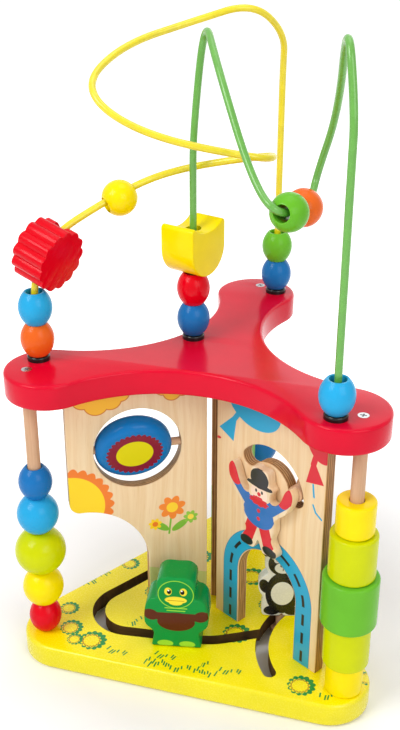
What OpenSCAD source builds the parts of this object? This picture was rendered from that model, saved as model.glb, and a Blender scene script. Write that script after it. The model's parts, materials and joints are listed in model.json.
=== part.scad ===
// Wooden bead maze: a three-cornered base and a red top plate joined by three posts and three
// radial play panels, with two bent wires above that carry sliding beads.
// Millimetres, +Z up, origin at the centre of the base's underside.

/* [Frame] */
// Radius of the circle on which the middles of the corner lobes stand
lobe_circle_r = 126; // [115:1:140]
// Radius of each corner lobe of base and plate
lobe_r = 32.5; // [28:0.5:38]
// Thickness of the base board
base_t = 20; // [18:0.5:26]
// Clear height between base and top plate
bay_h = 214.5; // [205:0.5:235]
// Thickness of the top plate
plate_t = 20; // [18:0.5:26]
// Radius of the hollowed sides of the top plate
plate_hollow_r = 104; // [95:1:130]

/* [Posts] */
// Diameter of the wooden posts
post_d = 10; // [8:0.5:11]
// Distance of each post from the tip of its lobe
post_margin = 17; // [15:0.5:20]
// Depth of the post sockets in base and plate
post_socket = 12; // [8:0.5:13]
// Diameter of a screw head
screw_head_d = 8; // [6:0.5:9]
// Shank diameter of a screw
screw_d = 3.5; // [2.5:0.5:4.5]
// Length of a screw below its head
screw_len = 24; // [16:1:32]

/* [Panels] */
// Thickness of the plywood panels
panel_t = 10; // [8:0.5:12]
// Radius of the clear middle between the panels' inner edges
panel_inner_r = 7.5; // [7:0.5:10]
// Distance from a panel's outer edge to the middle of its post
panel_post_gap = 24.5; // [23.5:0.5:27]
// Depth of the tongues that seat in base and plate
tongue_depth = 8; // [5:0.5:10]
// Length of each tongue
tongue_len = 14; // [10:0.5:18]
// Thickness of the tongues
tongue_t = 6; // [4:0.5:7]
// Width of the left panel's foot
foot_w = 48; // [42:0.5:54]
// Level stretch between the quarter-round cut and the corner beyond it
cut_flat = 1; // [0.5:0.1:4]
// Height of the top of that cut, as a share of the bay
cut_share = 0.5035; // [0.47:0.0005:0.53]
// Radius of the left panel's lower outer corner
panel_corner_r = 8.5; // [5:0.5:9]
// Width of the arched doorway
arch_w = 61; // [54:0.5:66]
// Height of the arched doorway, as a share of the bay
arch_share = 0.394; // [0.36:0.002:0.41]
// Shift of the doorway from its panel's middle, outward
arch_shift = 1.25; // [0:0.25:2]

/* [Window and disc] */
// Diameter of the round window
window_d = 68.6; // [66:0.2:74]
// Height of the window's middle, as a share of the bay
window_share = 0.748; // [0.74:0.002:0.77]
// Diameter of the spinning disc
disc_d = 60; // [54:0.5:61]
// Thickness of the disc
disc_t = 17; // [13:0.5:18]
// Radius of the disc's rounded rim
disc_rim_r = 7; // [4:0.5:7.5]
// Diameter of the disc's axle
axle_d = 6.4; // [5:0.2:7]
// Depth of the axle's seats in the panel
axle_seat = 8; // [5:0.5:12]
// Shift of the disc along its axle towards the outer edge
disc_shift = 3; // [0:0.5:3]
// Resting tilt of the disc
disc_tilt = 20; // [0:1:40]

/* [Slot] */
// Width of the curved slot in the right panel
slot_w = 14; // [12.5:0.5:16]
// Radius of the slot's middle line
slot_r = 27; // [25:0.5:28]
// Shift of the slot's curve centre from its panel's middle, outward
slot_shift = 1.25; // [0:0.25:2]
// Height of the slot's curve centre, as a share of the bay
slot_share = 0.674; // [0.66:0.002:0.69]
// Angle of the slot's lower end
slot_from = 4; // [0:1:8]
// Angle of the slot's far end
slot_to = 140; // [110:1:145]

/* [Track] */
// Width of the track slot in the base
track_w = 10.5; // [10:0.1:12]
// Width of the guide channel under the track
channel_w = 22; // [20.5:0.5:24]
// Depth of the guide channel
channel_depth = 8; // [7:0.5:9]
// Radius of the track's left loop
loop_r = 28; // [24:0.5:31]
// Radius of the track's soft bend
track_bend_r = 50; // [40:1:56]
// Radius of the cross track
cross_r = 71; // [68:0.5:74]

/* [Wires] */
// Diameter of the coated wires
wire_d = 5.3; // [4:0.1:5.5]
// Height of the wires above the plate, which their corners follow
wire_rise = 240; // [225:1:255]
// Height of the left wire's first corner above the beads below it
left_corner_h = 31.5; // [30:0.5:40]
// Diameter of a collar at a wire's end
collar_d = 17; // [14:0.5:19]
// Height of a collar above the plate
collar_h = 4; // [3:0.5:6]
// Diameter of a collar's stem
stem_d = 9; // [8:0.5:11]
// Depth of a collar's stem in the plate
stem_len = 13; // [9:0.5:16]
// Distance of an outer collar beyond the middle of its lobe
collar_shift = 5; // [2:0.5:7]
// Sideways distance of an outer collar from its lobe's middle line
collar_side = 16; // [13:0.5:17]
// Radius at which the middle collar stands
middle_circle_r = 29.5; // [26:0.5:32]
// Direction of the middle collar
middle_angle = 141.5; // [138:0.5:145]

/* [Wire beads] */
// Diameter of a wire bead
bead_d = 25; // [22:0.5:26]
// Height of a wire bead
bead_h = 24.5; // [22:0.5:25]
// Bore of the wire beads
bead_bore = 12; // [11.6:0.1:12.5]
// Width of the flat rim round a bead's bore
bead_lip = 1.6; // [1:0.1:2.5]
// Diameter of a ball
ball_d = 26.5; // [25:0.5:27.5]
// Diameter of the scalloped block
cog_d = 46.5; // [43:0.5:48]
// Thickness of the scalloped block
cog_t = 27; // [24:0.5:28]
// Number of scallops
cog_teeth = 13; // [10:1:16]
// Depth of a scallop
cog_tooth = 2.4; // [1:0.1:3]
// Width of the moon block
moon_w = 41; // [38:0.5:43]
// Height of the moon block at its horns
moon_h = 40; // [37:0.5:42]
// Thickness of the moon block
moon_t = 29; // [24:0.5:32]
// Radius of the moon's hollow
moon_hollow_r = 27; // [25:0.5:30]
// Depth of the moon's hollow
moon_hollow = 6; // [4:0.5:7]
// Radius of the moon's horns
moon_horn_r = 3; // [1:0.5:3.5]

/* [Post beads] */
// Clearance of a bead's bore round its post
post_bore_gap = 0.5; // [0.3:0.1:1]
// Diameter of the small round bead
small_d = 26; // [24:0.5:28]
// Height of the small round bead
small_h = 26; // [24:0.5:27]
// Diameter of the middle round bead
medium_d = 32.5; // [30:0.5:35]
// Height of the middle round bead
medium_h = 31; // [29:0.5:32]
// Diameter of the large round bead
large_d = 40; // [37:0.5:42]
// Height of the large round bead
large_h = 37; // [35:0.5:38]
// Diameter of the small cylinder
small_cyl_d = 28.5; // [26:0.5:31]
// Height of the small cylinder
small_cyl_h = 26.5; // [24:0.5:27]
// Diameter of the middle cylinder
medium_cyl_d = 35; // [33:0.5:37]
// Height of the middle cylinder
medium_cyl_h = 36.5; // [34:0.5:37]
// Diameter of the large cylinder
large_cyl_d = 42; // [39:0.5:43]
// Height of the large cylinder
large_cyl_h = 41; // [38:0.5:41.5]
// Radius of the cylinders' rounded edges
cyl_edge_r = 2; // [1:0.5:3]

/* [Figures] */
// Width of the duck block
duck_w = 51; // [46:0.5:53]
// Height of the duck block
duck_h = 67; // [60:0.5:72]
// Thickness of the duck block
duck_t = 25; // [20:0.5:27]
// Width of the bear board
bear_w = 40; // [34:0.5:42]
// Height of the bear board
bear_h = 71; // [62:0.5:72]
// Thickness of the bear board
bear_t = 10; // [8:0.5:12]
// Arm span of the jester board
jester_w = 62; // [58:0.5:66]
// Height of the jester board
jester_h = 72; // [66:0.5:74]
// Thickness of the jester board
jester_t = 8; // [6:0.5:10]
// Diameter of a guide peg's end in its figure
peg_d = 6; // [5:0.2:6.4]
// Play of a guide peg to each side of its slot
peg_play = 0.8; // [0.5:0.1:1.5]
// Depth of a peg's seat in its figure
peg_seat = 5; // [3:0.5:5.5]
// Diameter of a peg's retaining foot
peg_foot_d = 18; // [15:0.5:19]
// Thickness of a peg's retaining foot
peg_foot_t = 4; // [3:0.5:5]

/* [Fits] */
// Gap round glued and pushed-in pieces
seat_gap = 0.1; // [0.05:0.01:0.2]
// Running gap of the disc on its axle
axle_gap = 0.05; // [0.02:0.01:0.1]
// Gap between pieces that move past each other
move_gap = 0.3; // [0.25:0.05:0.5]
// Gap between a figure and the board that it slides on
slide_gap = 0.5; // [0.3:0.1:1]

/* [Hidden] */
$fn = 48;
lobe_angles = [90, 210, 330];
rear_angle = 90;
left_angle = 210;
right_angle = 330;
// Overrun of every cut past the face that it opens
over = 1;
arc_steps = 14;
plate_low = base_t + bay_h;
plate_top = plate_low + plate_t;
panel_h = bay_h - 2 * seat_gap;
post_circle_r = lobe_circle_r + lobe_r - post_margin;
panel_outer_r = post_circle_r - panel_post_gap;
panel_mid = (panel_inner_r + panel_outer_r) / 2;
cut_h = cut_share * bay_h;
arch_h = arch_share * bay_h;
window_h = window_share * bay_h;
slot_h = slot_share * bay_h;

// Places on the plan
function polar(r, a) = [r * cos(a), r * sin(a)];
function at_height(p, z) = [p[0], p[1], z];
function arc_points(c, r, from, to, n) = [for (i = [0 : n]) c + polar(r, from + (to - from) * i / n)];
function post_at(a) = polar(post_circle_r, a);
function collar_at(a) = polar(lobe_circle_r + collar_shift, a) + collar_side * [sin(a), -cos(a)];
middle_at = polar(middle_circle_r, middle_angle);
collar_places = [collar_at(left_angle), middle_at, collar_at(rear_angle), collar_at(right_angle)];

// Outlines of the two boards
side_half = 180 / len(lobe_angles);
function lobe_arc(a, turn, n) = arc_points(polar(lobe_circle_r, a), lobe_r, a - turn, a + turn, n);
function base_outline() = [for (a = lobe_angles) each lobe_arc(a, side_half, arc_steps)];
lobe_half_gap = lobe_circle_r * sin(side_half);
hollow_circle_r = lobe_circle_r * cos(side_half)
    + sqrt(pow(plate_hollow_r + lobe_r, 2) - pow(lobe_half_gap, 2));
lobe_turn = atan2(hollow_circle_r * sin(side_half), hollow_circle_r * cos(side_half) - lobe_circle_r);
function hollow_arc(a) = arc_points(polar(hollow_circle_r, a + side_half), -plate_hollow_r,
    a + lobe_turn, a + 2 * side_half - lobe_turn, arc_steps);
function plate_outline() =
    [for (a = lobe_angles) each concat(lobe_arc(a, lobe_turn, 2 * arc_steps), hollow_arc(a))];

// A path through corner points, each rounded to its own radius: [x, y, z, radius]
function xyz(p) = [p[0], p[1], p[2]];
function unit(v) = v / norm(v);
function heading(c, i) = unit(xyz(c[i + 1]) - xyz(c[i]));
function turn_at(c, i) = acos(max(-1, min(1, heading(c, i - 1) * heading(c, i))));
function setback_at(c, i) = c[i][3] * tan(turn_at(c, i) / 2);
function bend_start(c, i) = xyz(c[i]) - heading(c, i - 1) * setback_at(c, i);
function bend_out(c, i) = let (a = heading(c, i - 1)) cross(a, unit(cross(a, heading(c, i))));
function bend_point(c, i, turned) =
    bend_start(c, i) - bend_out(c, i) * c[i][3] * (1 - cos(turned))
    + heading(c, i - 1) * c[i][3] * sin(turned);
function bend_steps(c, i, step) = max(2, ceil(turn_at(c, i) / step));
function rounded_path(c, step) = concat([xyz(c[0])],
    [for (i = [1 : len(c) - 2]) let (n = bend_steps(c, i, step), t = turn_at(c, i))
        each [for (k = [0 : n]) bend_point(c, i, t * k / n)]],
    [xyz(c[len(c) - 1])]);

// A soft path: every corner is cut to a curve between the middles of its two sides
function side_middle(c, i) = i == 0 ? c[0] : i == len(c) - 2 ? c[i + 1] : (c[i] + c[i + 1]) / 2;
function soft_point(c, i, share) = side_middle(c, i - 1) * pow(1 - share, 2)
    + 2 * c[i] * share * (1 - share) + side_middle(c, i) * pow(share, 2);
function soft_steps(c, i, step) = max(1, ceil(turn_at(c, i) / step));
function soft_path(c, step) = concat([c[0]],
    [for (i = [1 : len(c) - 2]) let (n = soft_steps(c, i, step))
        each [for (k = [1 : n]) soft_point(c, i, k / n)]]);

// A round bar swept along a path, its rings carried on without twist
wire_sides = 12;
function way_at(p, i) = unit(p[min(i + 1, len(p) - 1)] - p[max(i - 1, 0)]);
function square_to(v, w) = unit(v - w * (v * w));
function ring_sides(p, i = 0, last = [1, 0, 0]) = let (s = square_to(last, way_at(p, i)))
    i == len(p) - 1 ? [s] : concat([s], ring_sides(p, i + 1, s));
module swept_bar(path, d) {
    sides = ring_sides(path);
    rings = [for (i = [0 : len(path) - 1]) let (s = sides[i], t = cross(way_at(path, i), s))
        each [for (k = [0 : wire_sides - 1])
            path[i] + (s * cos(360 * k / wire_sides) + t * sin(360 * k / wire_sides)) * d / 2]];
    last = (len(path) - 1) * wire_sides;
    walls = [for (i = [0 : len(path) - 2]) for (k = [0 : wire_sides - 1])
        let (a = i * wire_sides, n = (k + 1) % wire_sides)
        each [[a + k, a + wire_sides + k, a + n], [a + n, a + wire_sides + k, a + wire_sides + n]]];
    caps = [for (k = [1 : wire_sides - 2]) each [[0, k, k + 1], [last, last + k + 1, last + k]]];
    polyhedron(points = rings, faces = concat(walls, caps));
}

// A flat ribbon round a path, for slots, with round ends
function side_point(p, i, w) = let (d = way_at(p, i)) [p[i][0] - d[1] * w, p[i][1] + d[0] * w];
function way_angle(p, i) = let (d = way_at(p, i)) atan2(d[1], d[0]);
function round_end(p, i, w, out) = [for (k = [1 : arc_steps - 1])
    [p[i][0], p[i][1]] + polar(w / 2, way_angle(p, i) + out - 180 * k / arc_steps)];
module ribbon(path, w) {
    last = len(path) - 1;
    polygon(concat([for (i = [0 : last]) side_point(path, i, w / 2)], round_end(path, last, w, 90),
        [for (i = [last : -1 : 0]) side_point(path, i, -w / 2)], round_end(path, 0, w, -90)));
}

// A smooth closed outline through a mirrored half, given as shares of half width and height
outline_steps = 5;
function curve_at(a, b, c, d, t) = ((2 * b) + (c - a) * t + (2 * a - 5 * b + 4 * c - d) * t * t
    + (3 * b - a - 3 * c + d) * t * t * t) / 2;
function mirrored(half) = concat(half,
    [for (i = [len(half) - 2 : -1 : 1]) [-half[i][0], half[i][1]]]);
function smooth(points) = [for (i = [0 : len(points) - 1]) for (k = [0 : outline_steps - 1])
    let (n = len(points))
    curve_at(points[(i + n - 1) % n], points[i], points[(i + 1) % n], points[(i + 2) % n],
        k / outline_steps)];
module figure_outline(half_shares, w, h) {
    polygon([for (p = smooth(mirrored(half_shares))) [p[0] * w / 2, max(0, p[1]) * h]]);
}
duck_shares = [[0, 0], [0.4, 0], [0.74, 0], [0.76, 0.05], [0.72, 0.14], [0.72, 0.2], [0.82, 0.25],
    [0.95, 0.3], [1, 0.38], [0.98, 0.52], [0.92, 0.62], [0.8, 0.68], [0.62, 0.71], [0.58, 0.76],
    [0.6, 0.86], [0.56, 0.94], [0.35, 1], [0, 1]];
bear_shares = [[0, 0.03], [0.12, 0], [0.5, 0], [0.8, 0.02], [0.84, 0.14], [0.8, 0.26], [0.96, 0.36],
    [0.98, 0.48], [0.8, 0.56], [0.62, 0.61], [0.74, 0.7], [0.74, 0.82], [0.88, 0.9], [0.78, 0.99],
    [0.56, 0.97], [0.3, 0.96], [0, 0.97]];
jester_shares = [[0, 0.13], [0.1, 0.05], [0.2, 0], [0.52, 0], [0.6, 0.06], [0.5, 0.13], [0.42, 0.2],
    [0.5, 0.32], [0.5, 0.45], [0.62, 0.52], [0.85, 0.62], [1, 0.74], [1.04, 0.86], [0.94, 0.93],
    [0.82, 0.88], [0.68, 0.74], [0.52, 0.66], [0.36, 0.66], [0.34, 0.74], [0.42, 0.8], [0.32, 0.85],
    [0.28, 0.96], [0.2, 1], [0, 1]];

// Track: the main run with its loop and the cross run, as shares of the lobe circle's radius
track_shares = [[-0.437, 0.286], [-0.925, -0.513], [0.095, -0.391], [0.401, -0.218]];
main_corners = [for (i = [0 : len(track_shares) - 1]) [track_shares[i][0] * lobe_circle_r,
    track_shares[i][1] * lobe_circle_r, 0, i == 1 ? loop_r : track_bend_r]];
cross_share = [0.968, -0.23];
cross_pivot = cross_share * lobe_circle_r;
cross_from = 134;
cross_to = 217;
track_step = 12;
main_path = rounded_path(main_corners, track_step);
cross_path = arc_points(cross_pivot, cross_r, cross_from, cross_to, arc_steps);

// Stacks: the low end of each piece above its board, from the heights of the pieces below
function stack_low(heights, i) =
    i == 0 ? move_gap : stack_low(heights, i - 1) + heights[i - 1] + move_gap;
wire_stack_low = plate_top + collar_h;
bead_heights = [bead_h, bead_h, bead_h];
function bead_mid(i) = wire_stack_low + stack_low(bead_heights, i) + bead_h / 2;

// The wires' corners: shares of the lobe circle's radius across and of the wire rise upward
wire_low = plate_top - stem_len;
left_foot = collar_at(left_angle);
rear_foot = collar_at(rear_angle);
right_foot = collar_at(right_angle);
function foot_corner(p, rise_share) = at_height(p, plate_top + rise_share * wire_rise);
function wire_corners(shares) =
    [for (p = shares) [p[0] * lobe_circle_r, p[1] * lobe_circle_r, plate_top + p[2] * wire_rise]];

// The left wire, from the left lobe round its loop to the rear one
left_corner_z = wire_stack_low + stack_low(bead_heights, 2) + left_corner_h;
left_route_shares = [[-0.597, 0.037, 0.479], [-0.316, 0.247, 0.536], [0.286, 0.254, 0.603],
    [0.295, -0.038, 0.62], [-0.392, -0.146, 0.681], [-0.753, -0.1, 0.794], [-0.661, 0.295, 0.889],
    [-0.315, 0.641, 0.945], [0.007, 0.724, 0.999], [0.151, 0.958, 0.896]];
left_fall_shares = [0.773, 0.606];
left_corners = concat([for (z = [wire_low, wire_stack_low, left_corner_z]) at_height(left_foot, z)],
    wire_corners(left_route_shares),
    [for (q = left_fall_shares) foot_corner(rear_foot, q)], [at_height(rear_foot, wire_low)]);

// The right wire, from the middle over its first peak, its valley and its tall peak to the right
right_rise_shares = [0.49, 0.656];
right_route_shares = [[-0.149, 0.261, 0.989], [0.016, -0.086, 0.891], [0.293, -0.36, 0.6],
    [0.479, -0.53, 0.537], [0.54, -0.024, 0.512], [0.539, 0.112, 0.57], [0.663, -0.027, 0.772],
    [0.761, -0.516, 1.061]];
right_fall_shares = [0.835, 0.71];
right_corners = concat([at_height(middle_at, wire_low)],
    [for (q = right_rise_shares) foot_corner(middle_at, q)], wire_corners(right_route_shares),
    [for (q = right_fall_shares) foot_corner(right_foot, q)], [at_height(right_foot, wire_low)]);
wire_step = 9;

// Frames for pieces threaded on a wire: a place, the bore's way and a side that is square to it
function level_side(way) = unit(cross([0, 0, 1], way));
module threaded(place, way, side) {
    third = cross(way, side);
    multmatrix([[side[0], third[0], way[0], place[0]], [side[1], third[1], way[1], place[1]],
        [side[2], third[2], way[2], place[2]]])
        children();
}
// A piece threaded over part of a bend, from one share of it to another, and let hang in its bore
function thread_way(c, i, shares) = unit(soft_point(c, i, shares[1]) - soft_point(c, i, shares[0]));
function thread_middle(c, i, shares) =
    (soft_point(c, i, shares[0]) + soft_point(c, i, shares[1])) / 4
    + soft_point(c, i, (shares[0] + shares[1]) / 2) / 2;
function hanging(way, share) = square_to([0, 0, -1], way) * share * bore_play;
// How far a bore's middle line may stand off a wire's
bore_play = bead_bore / 2 - wire_d / 2 - move_gap;
ball_lip_share = 0.05;
ball_h = 2 * sqrt(pow(ball_d / 2, 2) - pow(bead_bore / 2 * (1 + ball_lip_share), 2));

// Scalloped block on the left wire's first bend
cog_bend = 2;
cog_shares = [0.18, 0.89];
cog_way = thread_way(left_corners, cog_bend, cog_shares);
cog_at = thread_middle(left_corners, cog_bend, cog_shares);
cog_spin = -27;
cog_axis = -level_side(cog_way) * cos(cog_spin) + cross(cog_way, level_side(cog_way)) * sin(cog_spin);

// Ball on the left wire's lower strand
strand_bend = 3;
strand_shares = [0.37, 0.71];
strand_hang_share = 0.85;
strand_way = thread_way(left_corners, strand_bend, strand_shares);
strand_ball_at = thread_middle(left_corners, strand_bend, strand_shares)
    + hanging(strand_way, strand_hang_share);

// Two balls in the right wire's valley
valley_bend = 6;
valley_shares = [0.56, 1];
valley_hang_share = 0.15;
valley_way = thread_way(right_corners, valley_bend, valley_shares);
valley_ball_at = thread_middle(right_corners, valley_bend, valley_shares)
    + hanging(valley_way, valley_hang_share);
rise_bend = 7;
rise_shares = [0.06, 0.52];
rise_hang_share = 0.85;
rise_way = thread_way(right_corners, rise_bend, rise_shares);
rise_ball_at = thread_middle(right_corners, rise_bend, rise_shares)
    + hanging(rise_way, rise_hang_share);

// Sizes of the post beads, numbered upward
round_heights = [small_h, medium_h, large_h, medium_h, small_h];
round_widths = [small_d, medium_d, large_d, medium_d, small_d];
cyl_heights = [small_cyl_h, medium_cyl_h, large_cyl_h, medium_cyl_h, small_cyl_h];
cyl_widths = [small_cyl_d, medium_cyl_d, large_cyl_d, medium_cyl_d, small_cyl_d];
post_bore = post_d + 2 * post_bore_gap;

// Turned pieces
module barrel(d, h, bore, lip) {
    end_r = bore / 2 + lip;
    bulge = d / 2 - end_r;
    bulge_r = (h * h / 4 + bulge * bulge) / (2 * bulge);
    half_turn = asin(h / 2 / bulge_r);
    rotate_extrude()
        polygon(concat([[bore / 2, -h / 2]],
            arc_points([d / 2 - bulge_r, 0], bulge_r, -half_turn, half_turn, arc_steps),
            [[bore / 2, h / 2]]));
}
module ball() {
    barrel(ball_d, ball_h, bead_bore, bead_bore / 2 * ball_lip_share);
}
module rounded_cylinder(d, h, bore, edge_r) {
    edge_steps = arc_steps / 2;
    rotate_extrude()
        polygon(concat([[bore / 2, -h / 2]],
            arc_points([d / 2 - edge_r, edge_r - h / 2], edge_r, -90, 0, edge_steps),
            arc_points([d / 2 - edge_r, h / 2 - edge_r], edge_r, 0, 90, edge_steps),
            [[bore / 2, h / 2]]));
}
module wire_bead(place, i) {
    translate(at_height(place, bead_mid(i)))
        barrel(bead_d, bead_h, bead_bore, bead_lip);
}
module post_bead(a, i) {
    translate(at_height(post_at(a), base_t + stack_low(round_heights, i) + round_heights[i] / 2))
        barrel(round_widths[i], round_heights[i], post_bore, bead_lip);
}
module post_cylinder(i) {
    translate(at_height(post_at(right_angle), base_t + stack_low(cyl_heights, i) + cyl_heights[i] / 2))
        rounded_cylinder(cyl_widths[i], cyl_heights[i], post_bore, cyl_edge_r);
}
// A stepped peg along -Z: its end in the figure, its guide in the slot and its retaining foot
module guide_peg(seat_len, guide_d, guide_len) {
    rotate_extrude()
        polygon([[0, seat_len], [peg_d / 2, seat_len], [peg_d / 2, 0], [guide_d / 2, 0],
            [guide_d / 2, -guide_len], [peg_foot_d / 2, -guide_len],
            [peg_foot_d / 2, -guide_len - peg_foot_t], [0, -guide_len - peg_foot_t]]);
}
screw_head_h = (screw_head_d - screw_d) / 2;
// A countersunk screw pointing down from its head's top at the origin
module screw_solid(grow) {
    translate([0, 0, -screw_len])
        cylinder(d = screw_d + 2 * grow, h = screw_len - screw_head_h);
    translate([0, 0, -screw_head_h])
        cylinder(d1 = screw_d + 2 * grow, d2 = screw_head_d + 2 * grow, h = screw_head_h);
}

// Boards and posts
post_low = base_t - post_socket + seat_gap;
post_high = plate_low + post_socket - seat_gap;
foot_mid = panel_inner_r + foot_w / 2;
arch_mid = panel_mid + arch_shift;
inner_leg_mid = (panel_inner_r + arch_mid - arch_w / 2) / 2;
outer_leg_mid = (panel_outer_r + arch_mid + arch_w / 2) / 2;
quarter_shares = [0.25, 0.75];
top_mids = [for (q = quarter_shares) panel_inner_r + (panel_outer_r - panel_inner_r) * q];
arch_mids = [inner_leg_mid, outer_leg_mid];
function low_mids(a) = a == left_angle ? [foot_mid] : arch_mids;
module tongue_block(u, low, high, grow) {
    translate([u - tongue_len / 2 - grow, -tongue_t / 2 - grow, low])
        cube([tongue_len + 2 * grow, tongue_t + 2 * grow, high - low]);
}
module base_board() {
    color("gold") difference() {
        linear_extrude(base_t)
            polygon(base_outline());
        for (a = lobe_angles) {
            translate(at_height(post_at(a), base_t - post_socket))
                cylinder(d = post_d + 2 * seat_gap, h = post_socket + over);
            translate(at_height(post_at(a), 0))
                mirror([0, 0, 1])
                    screw_hole();
            rotate([0, 0, a])
                for (u = low_mids(a))
                    tongue_block(u, base_t - tongue_depth - seat_gap, base_t + over, seat_gap);
        }
        track_cut(track_w, channel_depth - over, base_t + over);
        track_cut(channel_w, -over, channel_depth);
    }
}
module screw_hole() {
    screw_solid(seat_gap);
    cylinder(d = screw_head_d + 2 * seat_gap, h = over);
}
module track_cut(w, low, high) {
    translate([0, 0, low])
        linear_extrude(high - low)
            union() {
                ribbon(main_path, w);
                ribbon(cross_path, w);
            }
}
module top_plate() {
    color("red") difference() {
        translate([0, 0, plate_low])
            linear_extrude(plate_t)
                polygon(plate_outline());
        for (a = lobe_angles) {
            translate(at_height(post_at(a), plate_low - over))
                cylinder(d = post_d + 2 * seat_gap, h = post_socket + over);
            translate(at_height(post_at(a), plate_top))
                screw_hole();
            rotate([0, 0, a])
                for (u = top_mids)
                    tongue_block(u, plate_low - over, plate_low + tongue_depth + seat_gap, seat_gap);
        }
        for (p = collar_places)
            translate(at_height(p, wire_low - seat_gap))
                cylinder(d = stem_d + 2 * seat_gap, h = stem_len + seat_gap + over);
    }
}
module post(a) {
    color("tan") difference() {
        translate(at_height(post_at(a), post_low))
            cylinder(d = post_d, h = post_high - post_low);
        translate(at_height(post_at(a), plate_top))
            screw_shank_hole();
        translate(at_height(post_at(a), 0))
            mirror([0, 0, 1])
                screw_shank_hole();
    }
}
module screw_shank_hole() {
    translate([0, 0, -screw_len - seat_gap])
        cylinder(d = screw_d + 2 * seat_gap, h = screw_len);
}
module left_post() post(left_angle);
module right_post() post(right_angle);
module rear_post() post(rear_angle);
module plate_screws() {
    color("silver")
        for (a = lobe_angles)
            translate(at_height(post_at(a), plate_top))
                screw_solid(0);
}
module base_screws() {
    color("silver")
        for (a = lobe_angles)
            translate(at_height(post_at(a), 0))
                mirror([0, 0, 1])
                    screw_solid(0);
}

// Panels, drawn upright with the way out from the centre as their first axis
panel_low = base_t + seat_gap;
panel_high = panel_low + panel_h;
module upright(t) {
    rotate([90, 0, 0])
        linear_extrude(t, center = true)
            children();
}
module tongues(a) {
    for (u = low_mids(a))
        tongue_block(u, base_t - tongue_depth, panel_low, 0);
    for (u = top_mids)
        tongue_block(u, panel_high, plate_low + tongue_depth, 0);
}
corner_mid = [panel_outer_r - panel_corner_r, base_t + cut_h + panel_corner_r];
cut_r = corner_mid[0] - cut_flat - panel_inner_r - foot_w;
cut_mid = [corner_mid[0] - cut_flat, base_t + cut_h - cut_r];
window_at = [panel_mid, base_t + window_h];
slot_at = [panel_mid + slot_shift, base_t + slot_h];
module left_profile() {
    polygon(concat([[panel_inner_r, panel_high], [panel_inner_r, panel_low],
        [panel_inner_r + foot_w, panel_low]],
        arc_points(cut_mid, cut_r, 180, 90, 2 * arc_steps),
        arc_points(corner_mid, panel_corner_r, -90, 0, arc_steps),
        [[panel_outer_r, panel_high]]));
}
module arch_profile() {
    arch_low = base_t + arch_h - arch_w / 2;
    polygon(concat([[panel_inner_r, panel_high], [panel_inner_r, panel_low],
        [arch_mid - arch_w / 2, panel_low]],
        arc_points([arch_mid, arch_low], arch_w / 2, 180, 0, 2 * arc_steps),
        [[arch_mid + arch_w / 2, panel_low], [panel_outer_r, panel_low], [panel_outer_r, panel_high]]));
}
module left_panel() {
    color("burlywood") rotate([0, 0, left_angle]) {
        difference() {
            union() {
                upright(panel_t)
                    left_profile();
                tongues(left_angle);
            }
            translate([window_at[0], 0, window_at[1]])
                rotate([90, 0, 0])
                    cylinder(d = window_d, h = panel_t + 2 * over, center = true, $fn = 96);
            translate([window_at[0] - window_d / 2 - axle_seat - seat_gap, 0, window_at[1]])
                rotate([0, 90, 0])
                    cylinder(d = axle_d + 2 * seat_gap, h = window_d + 2 * (axle_seat + seat_gap));
        }
    }
}
slot_path = arc_points(slot_at, slot_r, slot_from, slot_to, 2 * arc_steps);
module right_panel() {
    color("burlywood") rotate([0, 0, right_angle]) {
        difference() {
            union() {
                upright(panel_t)
                    arch_profile();
                tongues(right_angle);
            }
            upright(panel_t + 2 * over)
                ribbon(slot_path, slot_w);
        }
    }
}
module rear_panel() {
    color("burlywood") rotate([0, 0, rear_angle]) {
        upright(panel_t)
            arch_profile();
        tongues(rear_angle);
    }
}

// The disc and its axle in the left panel's window
module disc_axle() {
    color("tan") rotate([0, 0, left_angle])
        translate([window_at[0] - window_d / 2 - axle_seat, 0, window_at[1]])
            rotate([0, 90, 0])
                cylinder(d = axle_d, h = window_d + 2 * axle_seat);
}
module spin_disc() {
    color("white") rotate([0, 0, left_angle])
        translate([window_at[0] + disc_shift, 0, window_at[1]])
            rotate([90 - disc_tilt, 0, 0])
                difference() {
                    rounded_cylinder(disc_d, disc_t, 0, disc_rim_r);
                    rotate([0, 90, 0])
                        cylinder(d = axle_d + 2 * axle_gap, h = disc_d + 2 * over, center = true);
                }
}

// Wires and their collars
module left_wire() {
    color("gold")
        swept_bar(soft_path(left_corners, wire_step), wire_d);
}
module right_wire() {
    color("limegreen")
        swept_bar(soft_path(right_corners, wire_step), wire_d);
}
module wire_collars() {
    bore_r = wire_d / 2 + seat_gap;
    edge_r = collar_h / 3;
    edge_mid = [collar_d / 2 - edge_r, collar_h - edge_r];
    color("black")
        for (p = collar_places)
            translate(at_height(p, plate_top))
                rotate_extrude()
                    polygon(concat([[bore_r, -stem_len], [stem_d / 2, -stem_len], [stem_d / 2, 0],
                        [collar_d / 2, 0]],
                        arc_points(edge_mid, edge_r, 0, 90, arc_steps / 2), [[bore_r, collar_h]]));
}

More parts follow.
